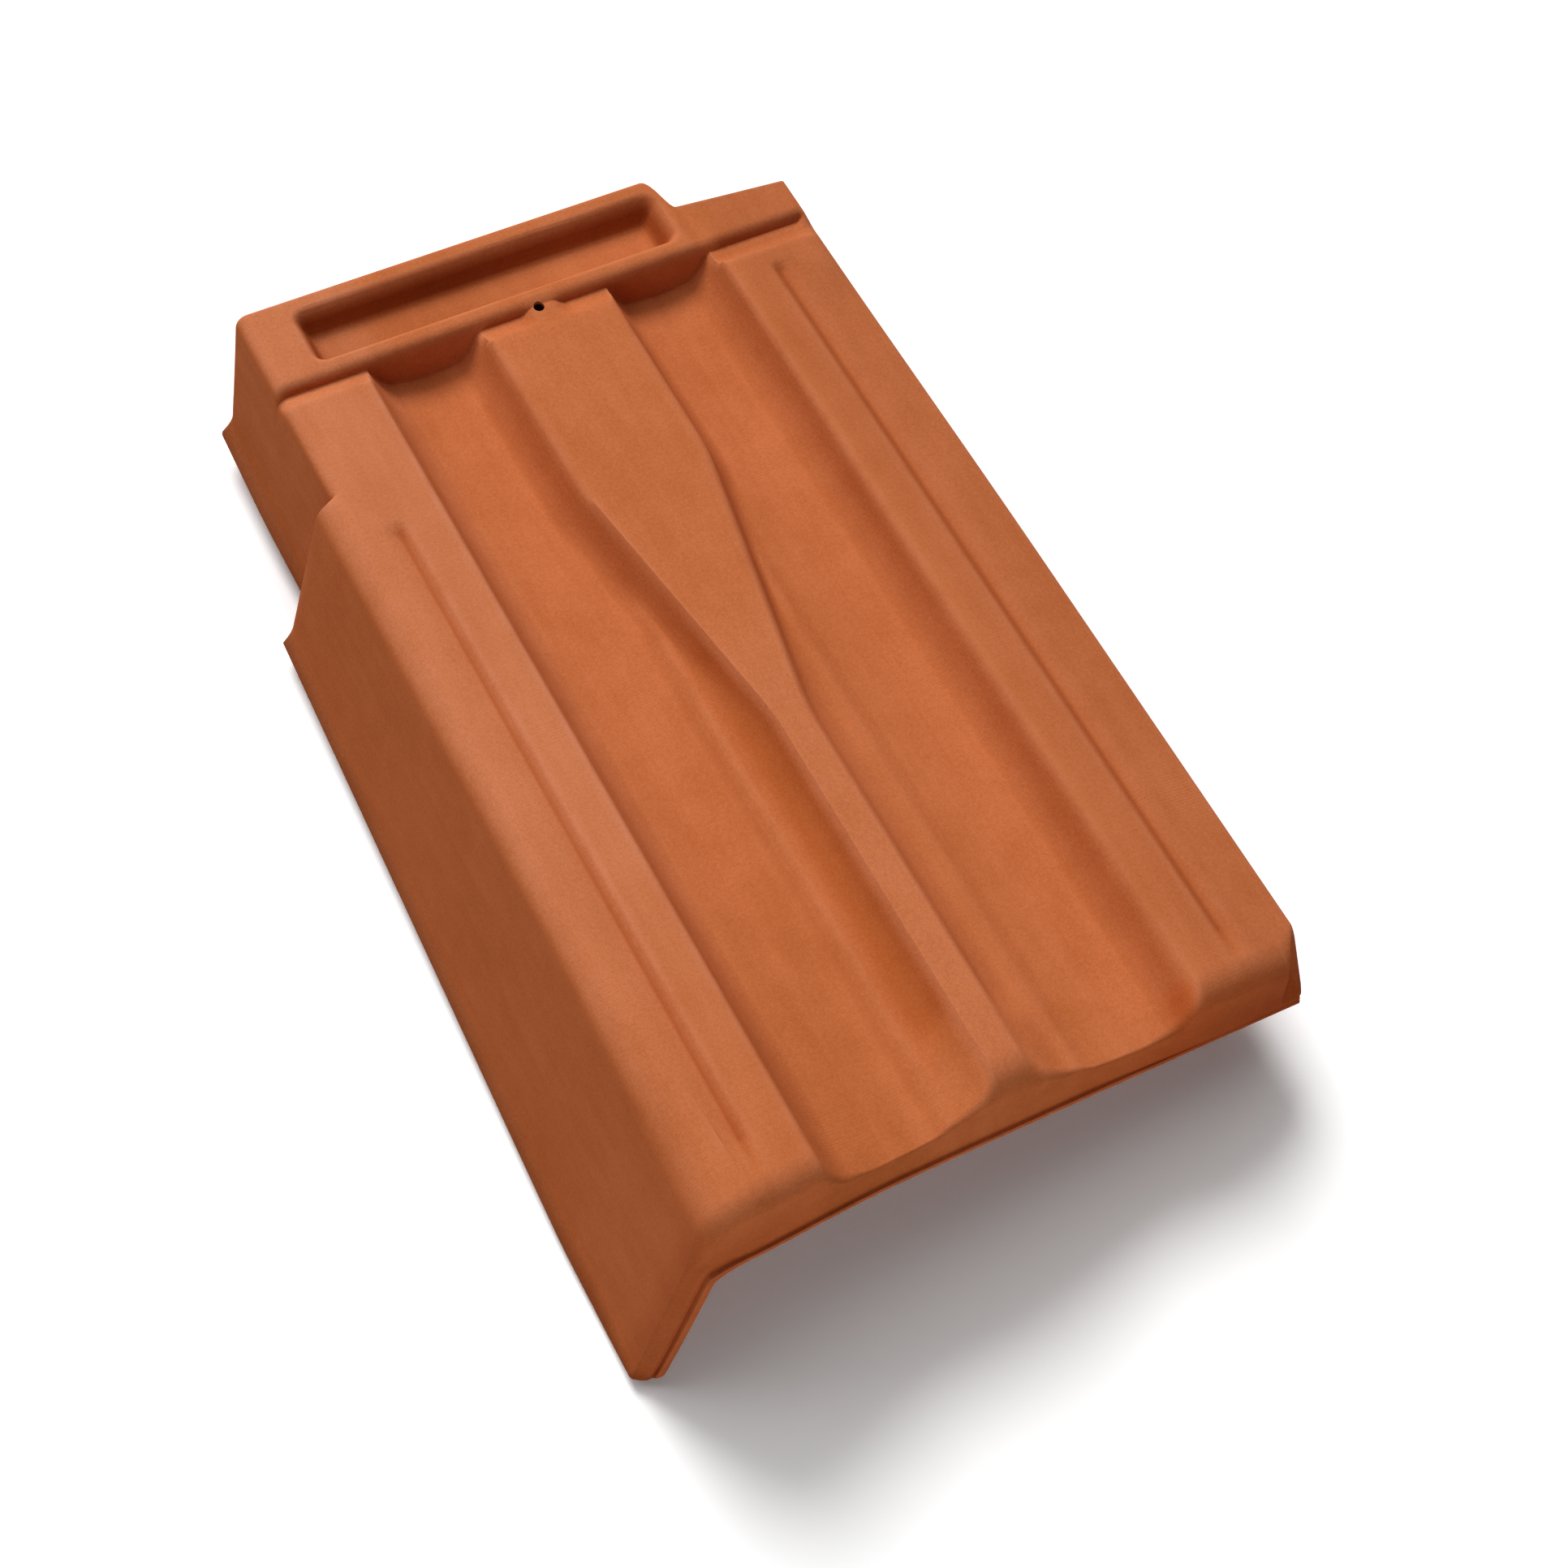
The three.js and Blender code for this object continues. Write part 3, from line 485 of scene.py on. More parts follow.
class Section:
    """Outer points, normals, inner points and kinds of one section, collected from left to right."""

    def __init__(self, y):
        self.y = y
        self.parts = []
        self.kinds = []

    def add(self, kind, x, z, normal, inner_x, inner_z):
        columns = np.broadcast_arrays(*np.atleast_1d(x, z, *normal, inner_x, inner_z))
        self.parts.append(np.stack(columns, 1))
        self.kinds.extend([kind] * len(columns[0]))

    def add_flap(self, edge, inner_x, left_level):
        """Left edge, from the lip along the flap's foot over its face to the shoulder."""
        lean = edge["lean"]
        normal = (-math.cos(lean), math.sin(lean))
        lip = lip_width(self.y)
        flare = onward(0, 1, FLARE_LINES)
        out = np.concatenate([lip - LIP_ROUND_IN, lip * (1 - flare) ** 2])
        z = edge["bottom"] + np.concatenate([LIP_ROUND_UP, LIP_THICK + LIP_FLARE * flare])
        self.add("flap", face_x(edge, z) - out, z, normal, inner_x(z), z)
        z = onward(z[-1], NOSE_CORNER_Z, FLAP_LINES)
        self.add("flap", face_x(edge, z), z, normal, inner_x(z), z)
        shoulder_foot = -edge["radius"] * (1 - math.sin(lean))
        z = between(NOSE_CORNER_Z, shoulder_foot, CORNER_LINES)
        inner_z = np.minimum(z, left_level)
        self.add("corner", face_x(edge, z), z, normal, inner_x(inner_z), inner_z)
        turn = np.linspace(lean, math.pi / 2, SHOULDER_LINES)
        nx, nz = -np.cos(turn), np.sin(turn)
        z = edge["radius"] * (nz - 1)
        inner_z = np.minimum(z - WALL * nz, left_level)
        round_x = -edge["start"] + max(0, edge["radius"] - WALL) * nx
        at_x = np.maximum(round_x, inner_x(inner_z))
        self.add("corner", -edge["start"] + edge["radius"] * nx, z, (nx, nz), at_x, inner_z)

    def add_deck(self, left_start, right_start, left_inside, right_inside):
        """Deck, at level 0 for now."""
        right = subdivide(deck_places(self.y), DECK_LINES)
        beyond_left = between(-left_start, -right[-1], EDGE_LINES)
        beyond_right = between(right[-1], right_start, EDGE_LINES)
        x = np.concatenate([beyond_left, -right[:0:-1], right, beyond_right])
        self.add("deck", x, 0, (0, 1), np.clip(x, left_inside, right_inside), 0)

    def add_roll(self, edge, inside, right_level):
        """Cover roll and skirt."""
        turn = np.linspace(math.pi / 2, SKIRT_LEAN, ROLL_LINES)
        nx, nz = np.cos(turn), np.sin(turn)
        x = edge["start"] + edge["radius"] * nx
        z = edge["radius"] * (nz - 1)
        inner_z = np.minimum(z - WALL * nz, right_level)
        self.add("roll", x, z, (nx, nz), np.minimum(x - WALL * nx, inside), inner_z)
        z = onward(z[-1], -SKIRT_DEPTH, SKIRT_LINES)
        x = edge["corner"] - z * math.tan(SKIRT_LEAN)
        normal = (math.cos(SKIRT_LEAN), math.sin(SKIRT_LEAN))
        self.add("roll", x, z, normal, x - WALL, np.minimum(z, right_level))

    def place(self, x, z):
        """Points at their places along the tile: rows run along the back edge in the head."""
        along = (self.y - HEAD_FRONT) / (HEAD_BACK - HEAD_FRONT)
        in_head = self.y > HEAD_FRONT
        y = mix(HEAD_FRONT, back_at(x), along) if in_head else np.full(len(x), float(self.y))
        return np.stack([x, y, z], 1)

    def arrays(self):
        x, z, nx, nz, inner_x, inner_z = np.concatenate(self.parts).T
        return self.place(x, z), np.stack([nx, nz], 1), self.place(inner_x, inner_z), np.array(self.kinds)


def section_at(y):
    left = left_edge(y, SETBACK_START, SETBACK_RUN)
    inside = left_edge(y, SETBACK_START - INSIDE_LEAD, INSIDE_RUN)
    right = right_edge(y)
    skirt_inside = right["corner"] - WALL

    def inner_x(z):
        return np.maximum(face_x(inside, z), face_x(left, z)) + WALL / math.cos(left["lean"])

    def inner_level(x):
        """Level of the clay's inner side, where the inner faces of deck and edge meet."""
        return min(-WALL, float(underside_level(np.array([x]), np.array([float(y)]))[0]))

    section = Section(y)
    section.add_flap(left, inner_x, inner_level(inner_x(-WALL)))
    section.add_deck(left["start"], right["start"], inner_x(-WALL), skirt_inside)
    section.add_roll(right, skirt_inside, inner_level(skirt_inside))
    outer, normals, inner, kinds = section.arrays()
    deck = kinds == "deck"
    outer[deck, 2] = top_level(outer[deck, 0], outer[deck, 1])
    inner[deck, 2] = underside_level(inner[deck, 0], inner[deck, 1])
    # the right band falls a little towards the roll
    outside = (outer[:, 0] > OUTER_START) & (outer[:, 2] > OUTER_LOWEST)
    fall = -OUTER_SLOPE * (outer[outside, 0] - OUTER_START)
    fallen = blend_min(outer[outside, 2], fall, OUTER_FILLET)
    outer[outside, 2] = mix(outer[outside, 2], fallen, float(ease((OUTER_END - y) / OUTER_FADE)))
    # valley and head rib run out down the shoulder and the roll
    if y > VALLEY_FRONT:
        rounds = (kinds == "corner") | (kinds == "roll")
        level = top_level(outer[rounds, 0], outer[rounds, 1])
        inboard = ease((right["corner"] - outer[rounds, 0]) / (right["corner"] - right["start"]))
        outer[rounds, 2] += level * ease(1 + outer[rounds, 2] / LEVEL_FADE) * inboard
    return outer, normals, inner, kinds


# ---- Nose ----


def nose_foot(x):
    """Forward place and level of the nose's lower edge."""
    bow = NOSE_FRONT - NOSE_BOW * ease((-x - NOSE_BOW_START) / (LEFT_CORNER - NOSE_BOW_START))
    level = -NOSE_DEPTH + NOSE_ARCH * (1 - (x / LEFT_CORNER) ** 2)
    return bow, level


def nose_ends(outer, inner, kinds):
    """Where each line of the section ends, on the nose's lower edge and the flap's front edge."""
    flap = kinds == "flap"
    corner = np.flatnonzero(kinds == "corner")
    roll = np.flatnonzero(kinds == "roll")
    deck_start = outer[corner[-1] + 1, 0]
    end_x = outer[:, 0].copy()
    end_x[flap] = inner[flap, 0] - FLAP_END_THIN
    t = (np.arange(len(corner)) + 1) / (len(corner) + 1) * math.pi / 2
    end_x[corner] = mix(end_x[corner[0] - 1], deck_start, 1 - np.cos(t))
    skirt_foot = RIGHT_CORNER + SKIRT_DEPTH * math.tan(SKIRT_LEAN)
    end_x[roll] = np.linspace(outer[roll[0], 0], skirt_foot - SKIRT_INSET, len(roll))
    end_y, end_z = nose_foot(end_x)
    end_z[flap] = outer[flap, 2]
    end_z[corner] = mix(NOSE_CORNER_Z, end_z[corner[-1] + 1], np.sin(t))
    return end_x, end_y, end_z


def lift_tip(points, kinds):
    """Rounds off the corner between the flap's lower edge and its front edge."""
    flap = kinds == "flap"
    near = clamp01(1 - (points[flap, 1] + NOSE_BOW) / TIP_ROUND)
    lift = TIP_ROUND * (1 - np.sqrt(1 - near**2))
    depth = NOSE_CORNER_Z - points[flap, 2]
    points[flap, 2] += lift * (depth / depth.max()) ** 2
    return points


def corner_share(x):
    """From 0 to 1 towards the nose's right corner."""
    return clamp01((x - NOSE_CORNER_START) / (RIGHT_CORNER - NOSE_CORNER_START)) ** 2


def trough_share(inward, sweep):
    """From 0 to 1 down into a trough, at a distance inward from where its wall starts."""
    step = NOSE_STEP_SHARE * ease(inward / NOSE_STEP_RUN)
    return step + (1 - NOSE_STEP_SHARE) * clamp01((inward - NOSE_STEP_RUN) / sweep)


def nose_runs(x, z, kinds):
    """How far behind the nose's lower edge each line of the section starts to turn down."""
    across = np.abs(x)
    inner_low = trough_share(across - NOSE_STEP_RIB, NOSE_SWEEP_RIB)
    outer_low = trough_share(NOSE_STEP_BAND - across, NOSE_SWEEP_BAND)
    low = np.where(across > TROUGH_CENTRE, outer_low, inner_low)
    bands = np.where(x < 0, NOSE_RUN_LEFT, NOSE_RUN_RIGHT)
    run = mix(np.where(across < TROUGH_CENTRE, NOSE_RUN_RIB, bands), NOSE_RUN_TROUGH, low)
    run = mix(run, NOSE_RUN_CORNER, corner_share(x))
    corner, roll = kinds == "corner", kinds == "roll"
    run[kinds == "flap"] = NOSE_RUN_FLAP
    run[corner] = mix(NOSE_RUN_FLAP, NOSE_RUN_LEFT, ease(np.linspace(0, 1, corner.sum())))
    run[roll] = mix(run[roll], NOSE_RUN_FOOT, clamp01(-z[roll] / SKIRT_DEPTH))
    return run


def nose_profile(depth, run, lip_out, most, lip_share):
    """Depth below the top and distance from the lower edge, for points down each line of the nose.

    The line turns down on a round, drops straight and meets the lip's top in a fillet.
    """
    fillet = np.minimum(mix(NOSE_FILLET_RIGHT, NOSE_FILLET, lip_share), 0.35 * depth)
    foot_y = lip_out + NOSE_FILLET_OUT * fillet
    radius = np.minimum(np.minimum(0.9 * (run - foot_y), 0.6 * (depth - fillet)), most)
    reach = radius - (depth - fillet)
    ahead = run - foot_y
    end = np.arctan2(ahead, reach) - np.arccos(np.minimum(1, radius / np.hypot(reach, ahead)))
    points = []
    for t in np.linspace(0, 1, NOSE_ROUND_ROWS):
        points.append((radius * (1 - np.cos(end * t)), run - radius * np.sin(end * t)))
    below, last_y = points[-1]
    for t in onward(0, 1, NOSE_FRONT_ROWS):
        points.append((mix(below, depth - fillet, t), mix(last_y, foot_y, t)))
    for t in onward(0, math.pi / 2, NOSE_FILLET_ROWS):
        out = NOSE_FILLET_OUT * fillet * (1 - math.cos(t))
        points.append((depth - fillet * (1 - math.sin(t)), foot_y - out))
    return points


def nose_lips(kinds, lipped):
    """How thick the lip of nose and flap is at each line, and how far it stands out."""
    flap, corner = kinds == "flap", kinds == "corner"
    towards_nose = np.linspace(0, 1, corner.sum())
    thick = np.where(flap, FLAP_LIP_THICK, NOSE_LIP_THICK)
    thick[corner] = mix(FLAP_LIP_THICK, NOSE_LIP_THICK, towards_nose)
    out = NOSE_LIP_LEAST + NOSE_LIP_OUT * lipped
    out[flap] = NOSE_LIP_LEAST + FLAP_LIP_OUT
    out[corner] = NOSE_LIP_LEAST + mix(FLAP_LIP_OUT, NOSE_LIP_OUT, towards_nose)
    return thick, out


def nose_rows():
    outer, normals, inner, kinds = section_at(NEAREST)
    end_x, end_y, end_z = nose_ends(outer, inner, kinds)
    x, z = outer[:, 0], outer[:, 2]
    run = nose_runs(x, z, kinds)
    turn = np.minimum(0.5 * run, 0.3 * np.hypot(end_x - x, end_z - z))
    turn_x, turn_z = x - normals[:, 0] * turn, z - normals[:, 1] * turn
    reach = np.hypot(end_x - turn_x, end_z - turn_z)
    lipped = ease((NOSE_LIP_END - x) / NOSE_LIP_FADE)
    thick, lip_out = nose_lips(kinds, lipped)
    lip_share = np.minimum(0.5, thick / reach)
    depth = turn + reach * (1 - lip_share)
    most = mix(NOSE_RADIUS, NOSE_CORNER_RADIUS, corner_share(x))
    deck = kinds == "deck"
    rows = []
    for below, back in nose_profile(depth, run, lip_out, most, lipped):
        first, then = np.minimum(below, turn), np.maximum(0, below - turn) / reach
        y = end_y + back
        row_x = mix(x - normals[:, 0] * first, end_x, then)
        row_z = mix(z - normals[:, 1] * first, end_z, then)
        change = top_level(x[deck], y[deck]) - top_level(x[deck], float(NEAREST))
        row_z[deck] += change * (1 - (below / depth)[deck])
        rows.append(np.stack([row_x, y, row_z], 1))
    for share, behind in NOSE_LIP_ROWS:
        part = lip_share * share
        front = end_y + np.minimum(behind, lip_out)
        rows.append(np.stack([mix(end_x, turn_x, part), front, mix(end_z, turn_z, part)], 1))
    inner_rows = []
    for t in onward(0, 1, len(rows)):
        along = mix(NEAREST, NOSE_THICK + end_y, t)
        down = mix(inner[:, 2], end_z, float(ramp(t, foot=0.3, crest=0.1)))
        inner_rows.append(np.stack([mix(inner[:, 0], end_x, float(ease(t))), along, down], 1))
    rows = [lift_tip(row, kinds) for row in rows]
    inner_rows = [lift_tip(row, kinds) for row in inner_rows]
    return rows, inner_rows


# ---- Head end and the whole skin ----


def back_rows():
    """Rows over the small round between the tile's faces and its cut rear face."""
    outer, normals, inner, kinds = section_at(HEAD_BACK)
    x, y, z = outer.T
    rows, inner_rows = [], []
    for turn in onward(0, math.pi / 2, BACK_ROWS):
        sink = np.where(kinds == "flap", BACK_ROUND_FLAP, BACK_ROUND) * (1 - math.cos(turn))
        step = BACK_ROUND * (1 - math.sin(turn))
        rows.append(np.stack([x - normals[:, 0] * sink, y - step, z - normals[:, 1] * sink], 1))
        inner_rows.append(np.stack([inner[:, 0], inner[:, 1] - step, inner[:, 2]], 1))
    return rows, inner_rows


def build_tile_mesh():
    nose_outer, nose_inner = nose_rows()
    sections = [section_at(y) for y in subdivide(ROW_PLACES, ROW_COUNTS)]
    back_outer, back_inner = back_rows()
    outer = np.stack([*nose_outer[::-1], *[s[0] for s in sections], *back_outer])
    inner = np.stack([*nose_inner[::-1], *[s[2] for s in sections], *back_inner])
    return outer, inner


def grid_faces(first, rows, columns, flip):
    """Quads of a grid of points numbered from first."""
    row, col = np.meshgrid(np.arange(rows - 1), np.arange(columns - 1), indexing="ij")
    a = first + row * columns + col
    quad = np.stack([a, a + 1, a + columns + 1, a + columns], -1).reshape(-1, 4)
    return quad[:, ::-1] if flip else quad


def around(index):
    """The rim of a grid of indices, in order from its first corner."""
    return np.concatenate([index[0, :-1], index[:-1, -1], index[-1, :0:-1], index[:0:-1, 0]])


def thinned(count):
    """Every second place of a run and its last one."""
    return np.append(np.arange(0, count - 1, 2), count - 1)


def closed_mesh(outer, inner):
    """Outer grid and every second line of the inner grid, joined round their rims."""
    rows, columns = outer.shape[:2]
    kept = np.ix_(thinned(rows), thinned(columns))
    inner = inner[kept]
    shift = rows * columns
    points = np.concatenate([outer.reshape(-1, 3), inner.reshape(-1, 3)])
    inner_count = inner.shape[0] * inner.shape[1]
    inner_index = np.full((rows, columns), -1)
    inner_index[kept] = shift + np.arange(inner_count).reshape(inner.shape[:2])
    outer_rim, inner_rim = around(np.arange(shift).reshape(rows, columns)), around(inner_index)
    joints = np.flatnonzero(inner_rim >= 0)
    after = np.append(joints[1:], len(inner_rim))
    sides = []
    for a, b in zip(joints, after):
        span = outer_rim[np.arange(b, a - 1, -1) % len(outer_rim)]
        sides.append([*span.tolist(), int(inner_rim[a]), int(inner_rim[b % len(inner_rim)])])
    faces = grid_faces(0, rows, columns, False).tolist()
    faces += grid_faces(shift, *inner.shape[:2], True).tolist()
    return points, faces + sides


def mesh_object(name, points, faces):
    mesh = bpy.data.meshes.new(name)
    mesh.from_pydata([tuple(p) for p in points], [], faces)
    mesh.validate()
    mesh.update()
    obj = bpy.data.objects.new(name, mesh)
    bpy.context.scene.collection.objects.link(obj)
    return obj


# ---- The tile's place in the row's frame ----


def tile_to_row():
    """Matrix from the tile's millimetres to the row's metres, from where the record's mounts lie."""
    mounts = {m["name"]: m for m in frame["record"]["mounts"]}
    up = Vector(mounts["left_band_top"]["axis"]).normalized()
    along = -Vector(mounts["batten_hook_left"]["axis"])
    right = along.cross(up).normalized()
    along = up.cross(right)
    turn = Matrix((right, along, up)).transposed()
    at = Vector(mounts["left_band_top"]["pos_m"]) - turn @ (Vector(BAND_MOUNT) * MM)
    return Matrix.Translation(at) @ turn.to_4x4() @ Matrix.Scale(MM, 4)


TILE = tile_to_row()
TILE_TURN = TILE.to_3x3().normalized()


def make_camera():
    data = bpy.data.cameras.new("camera")
    data.sensor_width = SENSOR
    data.lens = FOCAL_PIXELS * SENSOR / PHOTO_SIDE
    data.clip_end = FAR_CLIP
    camera = bpy.data.objects.new("camera", data)
    bpy.context.scene.collection.objects.link(camera)
    axes = [TILE_TURN @ v for v in (Vector(CAMERA_RIGHT), -Vector(CAMERA_DOWN), -Vector(CAMERA_FORWARD))]
    place = Matrix(axes).transposed().to_4x4()
    place.translation = TILE @ Vector(CAMERA_AT)
    camera.matrix_world = place
    bpy.context.scene.camera = camera


# ---- Nibs, nail hole and the finished tile ----


def solid_between(name, near, far):
    """Solid between two outlines that have as many points each."""
    count = len(near)
    sides = [[k, (k + 1) % count, count + (k + 1) % count, count + k] for k in range(count)]
    ends = [list(range(count))[::-1], list(range(count, 2 * count))]
    return mesh_object(name, [*near, *far], sides + ends)


def batten_nib(x):
    """Hook under the head that hangs the tile on its batten; its root has a fillet in front."""
    middle = HEAD_TOP - POCKET_DEPTH - WALL / 2
    root = -TROUGH_DEPTH - WALL + NIB_SUNK
    outline = [(NIB_FRONT, -NIB_DEPTH)]
    for k in range(NIB_ROOT_PARTS + 1):
        turn = k / NIB_ROOT_PARTS * math.pi / 2
        y = NIB_FRONT - NIB_ROOT * (1 - math.cos(turn))
        outline.append((y, root - NIB_ROOT * (1 - math.sin(turn))))
    outline += [
        (NIB_FRONT - NIB_ROOT, root + NIB_OVERLAP),
        (HEAD_FRONT, middle),
        (NIB_FRONT + NIB_FOOT + NIB_DRAFT, middle),
        (NIB_FRONT + NIB_FOOT, -NIB_DEPTH),
    ]
    near, far = ([(side, y, z) for y, z in outline] for side in (x - NIB_WIDTH / 2, x + NIB_WIDTH / 2))
    return solid_between("nib", near, far)


def nail_shaft():
    turns = [2 * math.pi * k / NAIL_SIDES for k in range(NAIL_SIDES)]
    radius = NAIL_DIAMETER / 2
    ring = [(NAIL_X + radius * math.cos(t), NAIL_Y + radius * math.sin(t)) for t in turns]
    near, far = ([(x, y, z) for x, y in ring] for z in (-3 * WALL, WALL))
    return solid_between("nail_shaft", near, far)


def combine(body, tool, operation):
    """Joins the tool to the body or cuts it out of it, and removes it."""
    modifier = body.modifiers.new("cut", "BOOLEAN")
    modifier.operation = operation
    modifier.solver = "MANIFOLD"
    modifier.object = tool
    graph = bpy.context.evaluated_depsgraph_get()
    mesh = bpy.data.meshes.new_from_object(body.evaluated_get(graph))
    body.modifiers.clear()
    body.data = mesh
    bpy.data.objects.remove(tool)


def keep_in_box(mesh):
    """Holds the finer surface, which may pass the facets by a few tenths of a millimetre, to the CAD box."""
    places = np.empty(3 * len(mesh.vertices))
    mesh.vertices.foreach_get("co", places)
    low, high = (np.array(corner) for corner in cad_bounds)
    mesh.vertices.foreach_set("co", np.clip(places.reshape(-1, 3), low, high).ravel())


def make_tile():
    points, faces = closed_mesh(*build_tile_mesh())
    tile = mesh_object("clay_verge_tile", points, faces)
    combine(tile, batten_nib(-NIB_X), "UNION")
    combine(tile, batten_nib(NIB_X), "UNION")
    combine(tile, nail_shaft(), "DIFFERENCE")
    tile.data.materials.clear()
    tile.data.transform(TILE)
    keep_in_box(tile.data)
    tile.data.shade_smooth()
    tile.data.set_sharp_from_angle(angle=CREASE)
    backward = TILE_TURN @ Vector((0, 1, 0))
    for face in tile.data.polygons:
        face.use_smooth = face.normal.dot(backward) < CUT_FACE
    return tile


# ---- Fired clay ----
CLAY_DARK = (0.490, 0.128, 0.038, 1)
CLAY_LIGHT = (0.620, 0.182, 0.066, 1)
# painted highlight along convex edges
CLAY_EDGE_HIGHLIGHT = (0.690, 0.235, 0.110, 1)
# painted shade in concave creases and hollows
CLAY_HOLLOW_SHADE = (0.380, 0.078, 0.016, 1)
# painted shade: deeper colour on upright faces
CLAY_UPRIGHT_SHADE = (0.92, 0.82, 0.68, 1)
CLAY_PALE = (1.07, 1.2, 1.45, 1)
# painted shade on the right band, as the light falls off to the right
CLAY_RIGHT_SHADE = (0.92, 0.93, 0.95, 1)
CLAY_DARKER_TROUGH = (0.88, 0.86, 0.78, 1)
# painted shade in the pocket
CLAY_POCKET_SHADE = (0.84, 0.82, 0.77, 1)
# painted shade in the left scoop
CLAY_SCOOP_SHADE = (0.86, 0.76, 0.60, 1)
# painted shade on the pocket's steep back
CLAY_POCKET_BACK_SHADE = (0.72, 0.55, 0.40, 1)
# painted shade low down beside the nose's corners
CLAY_CORNER_SHADE = (0.76, 0.64, 0.55, 1)
# painted shade: deeper colour on the nose's front face
CLAY_NOSE_SHADE = (0.99, 0.84, 0.68, 1)
CLAY_LIP = (0.55, 0.50, 0.45, 1)
CLAY_HOLE_SHADE = (0.06, 0.012, 0.004, 1)  # painted shade inside the nail hole
SPECULAR = 0.05
ROUGH_FINE = (0.78, 0.95)

# sizes in millimetres of the clay's patterns, and how far each swings the tone from dark to light
PATCH_SIZE = 55
PATCH_SWING = 0.16
MOTTLE_SIZE = 15
MOTTLE_SWING = 0.14
STREAK_SIZE = 7
STREAK_SWING = 0.14
STREAK_STRETCH = 0.12
SAND_SIZE = 1.5
SAND_SWING = 0.22
GRAIN_SIZE = 0.55
GRAIN_SWING = 0.4
NOISE_RANGE = (0.3, 0.7)  # most of a noise texture's values lie in here

# the fine relief
RIPPLE_SIZE = 1.3
WEAVE_SIZE = 0.33
WEAVE_ANGLE = 0.6
WAVE_REPEAT = 3.14  # a wave texture repeats about once a unit at one over this scale
GRAIN_RELIEF = 0.5
BUMP_STRENGTH = 0.35
BUMP_DISTANCE = 0.0003

# Masks: products of ramps. A ramp names the measure it follows, where it is 0 and where it is 1,
# and then, if they differ, its two end values.
# painted highlight along convex edges
HIGHLIT_EDGES = [("bend", 0.503, 0.55), ("mottle", 0.3, 0.6, 0.2, 0.5), ("off_centre", 10, 16, 0.4, 1)]
# painted shade in concave creases, less of it near the head
SHADED_HOLLOWS = [("bend", 0.495, 0.45, 0, 0.8), ("along", 365, 380, 1, 0.5)]
# painted shade on upright faces
SHADED_UPRIGHT = [("facing_up", 0.65, 0.3)]
IN_HEAD = [("along", 384, 388), ("across", -103, -101)]
IN_NAIL_HOLE = [("from_nail", 2.6, 2.4), ("above", -0.8, -1.4)]
IN_POCKET = [
    ("above", -1, -5),
    ("above", -16, -14),
    ("along", 401, 403),
    ("across", -103, -101),
    ("across", 74, 72),
]
RIPPLED = [("patch", 0.5, 0.65, 0, 0.35)]
FLAT_TOPS = [("above", -2.5, -1), ("mottle", 0.35, 0.6, 0, 0.5)]

# Tints that bring the clay's tones near the photo's: a colour, and masks of which the strongest counts.
# most of these tints are painted shade, as the comment over each says
TINTS = [
    # paler, lighter tone on the left band and along the rib
    (
        CLAY_PALE,
        [("across", -62, -76), ("along", 20, 160), ("facing_up", 0.4, 0.8)],
        [("above", -4, -1, 0, 0.6), ("along", 240, 190), ("off_centre", 30, 10)],
    ),
    # painted shade on the right band, as the light falls off to the right
    (CLAY_RIGHT_SHADE, [("across", 76, 90)]),
    # darker tone in the left trough near the nose
    (CLAY_DARKER_TROUGH, [("across", -30, -42), ("across", -82, -74), ("along", 130, 30)]),
    # painted shade in the left scoop
    (
        CLAY_SCOOP_SHADE,
        [
            ("across", -25, -17),
            ("across", -6, -8),
            ("along", 20, 45),
            ("along", 240, 215),
            ("above", -1.5, -5),
            ("above", -16, -14),
        ],
    ),
    # lip along the flap's foot, which would catch more light than in the photo
    (CLAY_LIP, [("over_foot", 9, 3), ("across", -100, -110)]),
    # painted shade in the pocket, most of all on its steep back
    (CLAY_POCKET_SHADE, [*IN_POCKET, ("across", 40, -20)]),
    (CLAY_POCKET_BACK_SHADE, [*IN_POCKET, ("facing_up", 0.9, 0.6)]),
    # painted shade: deeper colour on the nose's front face, and darker low down beside its corners
    (CLAY_NOSE_SHADE, [("along", 18, 10), ("facing_up", 0.85, 0.6), ("across", 10, 70)]),
    (
        CLAY_CORNER_SHADE,
        [("above", -6, -28), ("across", 40, 115), ("along", 14, 6)],
        [("above", -6, -28), ("across", -50, -105, 0, 0.5), ("along", 14, 6)],
    ),
]


